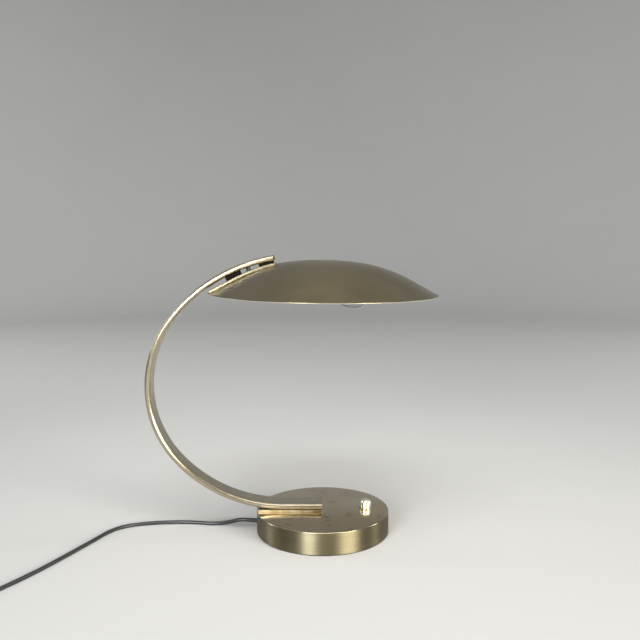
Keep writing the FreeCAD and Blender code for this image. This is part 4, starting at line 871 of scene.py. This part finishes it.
def take_out(thing, tool):
    """Cut a tool's form out of a piece, and keep the result as the piece's mesh."""
    cut = thing.modifiers.new("cut", "BOOLEAN")
    cut.object = tool
    cut.solver = "EXACT"
    shape = bpy.data.meshes.new_from_object(thing.evaluated_get(bpy.context.evaluated_depsgraph_get()))
    thing.modifiers.clear()
    thing.data = shape
    bpy.data.objects.remove(tool)


slot_low = under_radius - ARM_WALL
slot_high = under_radius + 2 * ARM_WALL
slot_form = bar_round_slide(slot_low, slot_high, SLOT_WIDE, slot_start, slot_end)
take_out(arm, mesh_object("slot_form", slot_form))
place_piece(arm, "root", ["arm_tube"], strip_nickel)

# %% [markdown]
# ## The shade
#
# The shade is a dome spun from one disc. Its outline is a single curve, flat at the crown and
# falling ever faster to the rim, and the sheet's edge is rolled round. One formula gives the
# outside, and the inside is the same line set in by the sheet's thickness. Such shades are
# often white inside to throw the light down, so this one has white lacquer there.

# %% Spin the dome
SHADE_RADIUS = 0.174
SHADE_HIGH = 0.0505
SHEET = 0.0012
SHADE_CROWN = 0.5515
SHADE_SHOULDER = 1.0787
SHADE_TILT = math.radians(0.6)
RIM_BEHIND = 0.1371
RAIL_THICK = 0.002
RAIL_GAP = 0.0001
rim_high = slide_centre.z + under_radius - SHADE_HIGH - RAIL_THICK - RAIL_GAP
shade_middle = Vector((slide_centre.x - RIM_BEHIND + SHADE_RADIUS, 0, rim_high))
shade_place = Matrix.Translation(shade_middle) @ Matrix.Rotation(SHADE_TILT, 4, "Y")


def dome(out):
    """Height and slope of the dome's outer face at a distance from its axis."""
    share = out / SHADE_RADIUS
    last = SHADE_CROWN + SHADE_SHOULDER - 1
    high = SHADE_HIGH * (1 - SHADE_CROWN * share ** 2 - SHADE_SHOULDER * share ** 4 + last * share ** 6)
    fall = 2 * SHADE_CROWN * share + 4 * SHADE_SHOULDER * share ** 3 - 6 * last * share ** 5
    return high, fall * SHADE_HIGH / SHADE_RADIUS


def dome_line(inset, parts=40):
    """Points of the dome's outline, set in square to its face."""
    line = []
    for part in range(parts + 1):
        out = SHADE_RADIUS * part / parts
        high, fall = dome(out)
        square = Vector((fall, 1)).normalized() * inset
        line.append(Vector((out, high)) - square)
    line[0].x = 0
    return line


outside, inside = dome_line(0), dome_line(SHEET)
rim_middle = (outside[-1] + inside[-1]) / 2
rim_out = (outside[-1] - rim_middle)
rim_side = Vector((rim_out.y, -rim_out.x))
rim_arc = []
for degrees in (30, 60, 90, 120, 150):
    turn = math.radians(degrees)
    rim_arc.append(rim_middle + rim_out * math.cos(turn) + rim_side * math.sin(turn))
shade = turned_piece("shade_dome", outside + rim_arc + inside[::-1], 192, shade_place, 60)
place_piece(shade, "shade_unit", ["shade"], shade_nickel)


LACQUER_FACING = -0.2


def is_inside(face):
    """Whether a face of the dome looks down, as its lacquered side does."""
    return face.normal.z < LACQUER_FACING


second_finish(shade, finishes["white_lacquer"], is_inside)

# %% [markdown]
# ## The rail
#
# A strip as wide as the arm is curved over the dome. It carries the two guides. Its plating
# has worn off along the edges, so they shine yellower than its face.

# %% Bend the rail over the dome
RAIL_END_ANGLE = math.radians(8.8)
RAIL_RIM_INSET = 0.001
rail_front = slide_centre.x - math.sin(RAIL_END_ANGLE) * under_radius
rail_rear = shade_middle.x - SHADE_RADIUS + RAIL_RIM_INSET
RAIL_PARTS = 40
RAIL_PARTS_ACROSS = 8


def rail_point(along, across, lift):
    """A point over the dome, lifted square to its face."""
    x = rail_rear + (rail_front - rail_rear) * along - shade_middle.x
    y = ARM_WIDE * (across - 0.5)
    out = math.hypot(x, y)
    high, fall = dome(min(out, SHADE_RADIUS))
    return Vector((x, y, high + lift * math.hypot(fall, 1)))


RAIL_TONES = [(0.34, 0.32, 0.25), (0.32, 0.28, 0.19), (0.20, 0.17, 0.11)]
rail_nickel = brushed_metal("rail_nickel", marks_along_strip, RAIL_TONES, 0.26, 0.4,
                            worn_from=0.0168, wear=0.6)
strip = bmesh.new()
strip_lengths = strip.loops.layers.uv.new("lengths")
layers = []
for lift in (0, RAIL_THICK):
    grid = []
    for i in range(RAIL_PARTS + 1):
        shares = [j / RAIL_PARTS_ACROSS for j in range(RAIL_PARTS_ACROSS + 1)]
        row = [rail_point(i / RAIL_PARTS, share, lift) for share in shares]
        grid.append([strip.verts.new(spot) for spot in row])
    for before, after in zip(grid, grid[1:]):
        for j in range(RAIL_PARTS_ACROSS):
            strip.faces.new([before[j], before[j + 1], after[j + 1], after[j]])
    near_edge = [row[0] for row in grid]
    far_edge = [row[-1] for row in grid[-2::-1]]
    layers.append(near_edge + grid[-1][1:] + far_edge + grid[0][-2:0:-1])
join_rings(strip, *layers)
bmesh.ops.recalc_face_normals(strip, faces=strip.faces)
for face in strip.faces:
    for loop in face.loops:
        loop[strip_lengths].uv = (loop.vert.co.x, loop.vert.co.y + loop.vert.co.z)
rail = mesh_object("rail", strip, 40)
rail.matrix_world = shade_place
edge = rail.modifiers.new("edge", "BEVEL")
edge.width = 0.0003
edge.segments = 2
edge.limit_method = "ANGLE"
edge.angle_limit = math.radians(50)
place_piece(rail, "shade_unit", ["shade_rail"], rail_nickel)

# %% [markdown]
# ## The bulb
#
# A clear household bulb: a ball, a hollow curve and a neck, each tangent to the next. The
# curve's radius follows from the two others. Glass is modelled with both of its faces, so
# light bends in it as it should.

# %% Blow the bulb
HOLDER_LIFT = 0.0059
HOLDER_AT = Vector((-0.0700, 0, rim_high + HOLDER_LIFT))
BULB_START = 0.040
BULB_RADIUS = 0.030
BULB_LONG = 0.105
BULB_NECK = 0.0126
BULB_WALL = 0.0008
CAP_LONG = 0.027
NECK_STRAIGHT = 0.003
TURN_TO_X = Matrix.Rotation(math.radians(90), 4, "Y")
bulb_place = Matrix.Translation(HOLDER_AT + Vector((BULB_START, 0, 0))) @ TURN_TO_X


def bulb_line(wall, parts=12):
    """The glass's outline as (radius, distance) points from its neck to its tip."""
    ball, neck = BULB_RADIUS - wall, BULB_NECK - wall
    neck_end, middle = CAP_LONG + NECK_STRAIGHT, BULB_LONG - BULB_RADIUS
    run = middle - neck_end
    hollow = (run ** 2 - ball ** 2 + neck ** 2) / (2 * (ball - neck))
    lean = math.atan2(run, neck + hollow)
    line = [Vector((neck, CAP_LONG - NECK_STRAIGHT)), Vector((neck, CAP_LONG))]
    for part in range(parts + 1):
        turn = lean * part / parts
        line.append(Vector((neck + hollow * (1 - math.cos(turn)), neck_end + hollow * math.sin(turn))))
    for part in range(1, 2 * parts + 1):
        turn = -lean + (math.pi / 2 + lean) * part / (2 * parts)
        line.append(Vector((ball * math.cos(turn), middle + ball * math.sin(turn))))
    line[-1].x = 0
    return line


glass_outline = bulb_line(0)[::-1] + bulb_line(BULB_WALL)
bulb = turned_piece("bulb", glass_outline, 72, bulb_place, 60)
place_piece(bulb, "shade_unit", ["bulb_glass"], finishes["bulb_glass"])

# %% [markdown]
# ## The cord's finish, relief and plug
#
# The lead is black plastic with a soft shine. At the foot it comes through a tapered rubber
# relief whose rings let it bend by degrees. Its plug is a flat moulding with two round pins,
# a narrow waist for the fingers and a ringed neck.

# %% Mould the strain relief
RELIEF_FOOT = 0.0034
RELIEF_TIP = 0.00295
RELIEF_RINGS = 5
RING_GROOVE = 0.00045
RELIEF_FLANGE = 0.0055
relief_inside = COVER_WALL + RELIEF_FLANGE
relief_outline = [(0, -relief_inside), (RELIEF_FOOT, -relief_inside), (RELIEF_FOOT, 0)]
for ring in range(RELIEF_RINGS):
    for share, depth in ((0.45, 0), (0.55, 1), (0.85, 1), (0.95, 0)):
        along = (ring + share) / RELIEF_RINGS
        radius = RELIEF_FOOT + (RELIEF_TIP - RELIEF_FOOT) * along
        relief_outline.append((radius - depth * RING_GROOVE, RELIEF_LONG * along))
relief_outline += [(RELIEF_TIP, RELIEF_LONG), (0, RELIEF_LONG)]
relief_start = EXIT_WAY * FOOT_RADIUS + Vector((0, 0, EXIT_HIGH))
relief_place = Matrix.Translation(relief_start) @ EXIT_WAY.to_track_quat("Z", "Y").to_matrix().to_4x4()
relief = turned_piece("strain_relief", [Vector(spot) for spot in relief_outline], 32, relief_place)
place_piece(relief, "root", ["cord_relief"], finishes["black_rubber"])

# %% Mould the plug
PLUG_LONG = 0.036
PLUG_WIDE = 0.030
PLUG_THICK = 0.014
PLUG_EDGE = 0.0035
NECK_RADIUS = 0.0046
PIN_RADIUS = 0.002
PIN_LONG = 0.019
PIN_APART = 0.019
PLUG_SOFT = 0.0018
WAIST_BEND = 0.02
SLEEVE_GAP = 0.0002
back = PLUG_WIDE * 0.3
waist = PLUG_WIDE * 0.42
waist_at = PLUG_LONG * 0.45
plan = softened([
    (0, -back, PLUG_EDGE),
    (waist_at, -waist, WAIST_BEND),
    (PLUG_LONG, -PLUG_WIDE / 2, PLUG_EDGE),
    (PLUG_LONG, PLUG_WIDE / 2, PLUG_EDGE),
    (waist_at, waist, WAIST_BEND),
    (0, back, PLUG_EDGE),
], 6)
plug = slab("plug", plan, -PLUG_THICK / 2, PLUG_THICK / 2, PLUG_SOFT, 4)
plug.matrix_world = plug_place
place_piece(plug, "root", ["plug_body"], finishes["black_plastic"])

on_its_side = plug_place @ TURN_TO_X
neck_outline = [(0, -PLUG_NECK), (CORD_RADIUS + SLEEVE_GAP, -PLUG_NECK)]
NECK_RINGS = 5
for ring in range(NECK_RINGS):
    for share, depth in ((0.1, 0), (0.25, 1), (0.6, 1), (0.75, 0)):
        along = (ring + share) / NECK_RINGS
        radius = CORD_RADIUS + (NECK_RADIUS - CORD_RADIUS) * along
        sunk = depth * RING_GROOVE * along
        neck_outline.append((radius + SLEEVE_GAP - sunk, PLUG_NECK * (along - 1)))
neck_outline += [(NECK_RADIUS, 0), (NECK_RADIUS, 0.002), (0, 0.002)]
plug_neck = turned_piece("plug_neck", [Vector(spot) for spot in neck_outline], 32, on_its_side)
plug_neck.data.materials.append(finishes["black_plastic"])
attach(plug_neck, "root")
pin_outline = softened([
    (0, PLUG_LONG - 0.001, 0),
    (PIN_RADIUS, PLUG_LONG - 0.001, 0),
    (PIN_RADIUS, PLUG_LONG + PIN_LONG, PIN_RADIUS * 0.6),
    (0, PLUG_LONG + PIN_LONG, 0),
], 6)
for number, side in enumerate((-1, 1)):
    aside = Matrix.Translation((0, side * PIN_APART / 2, 0))
    pin = turned_piece(f"plug_pin_{number}", pin_outline, 24, plug_place @ aside @ TURN_TO_X)
    place_piece(pin, "root", ["plug_pins"], finishes["plug_pins"])

# %% Finish the cord
mains_cord.data.materials.append(finishes["cord_sheath"])
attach(mains_cord, "root")
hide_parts("cord_run", "cord_coil", "cord_tail")
print("the cord goes with", plug.name, "and", plug_neck.name)

# %% [markdown]
# ## The pieces that keep their model form
#
# Screws, wires, the switch and the lamp holder are right as the model has them. Each takes
# the finish that its record names. The two dark guides get a fine edge as well, because
# a sharp box shows no highlight.

# %% Give every other piece its finish
finishes["satin_nickel"] = flat_nickel
finishes["polished_nickel"] = polished.material
slots = {part["node"]: part["material_slot"] for part in frame["record"]["subparts"]}


def soft_edges(node, width):
    """A fine round edge on a piece of the model."""
    weld = node.modifiers.new("weld", "WELD")
    weld.merge_threshold = 1e-6
    edge = node.modifiers.new("edge", "BEVEL")
    edge.width = width
    edge.segments = 2
    edge.limit_method = "ANGLE"
    edge.angle_limit = math.radians(50)


for name, node in nodes.items():
    node.data.materials.clear()
    node.data.materials.append(finishes[slots[name]])
GUIDE_EDGE = 0.0003
for name in ("guide_front", "guide_rear"):
    soft_edges(nodes[name], GUIDE_EDGE)
print(len(nodes), "pieces have a finish")

# %% [markdown]
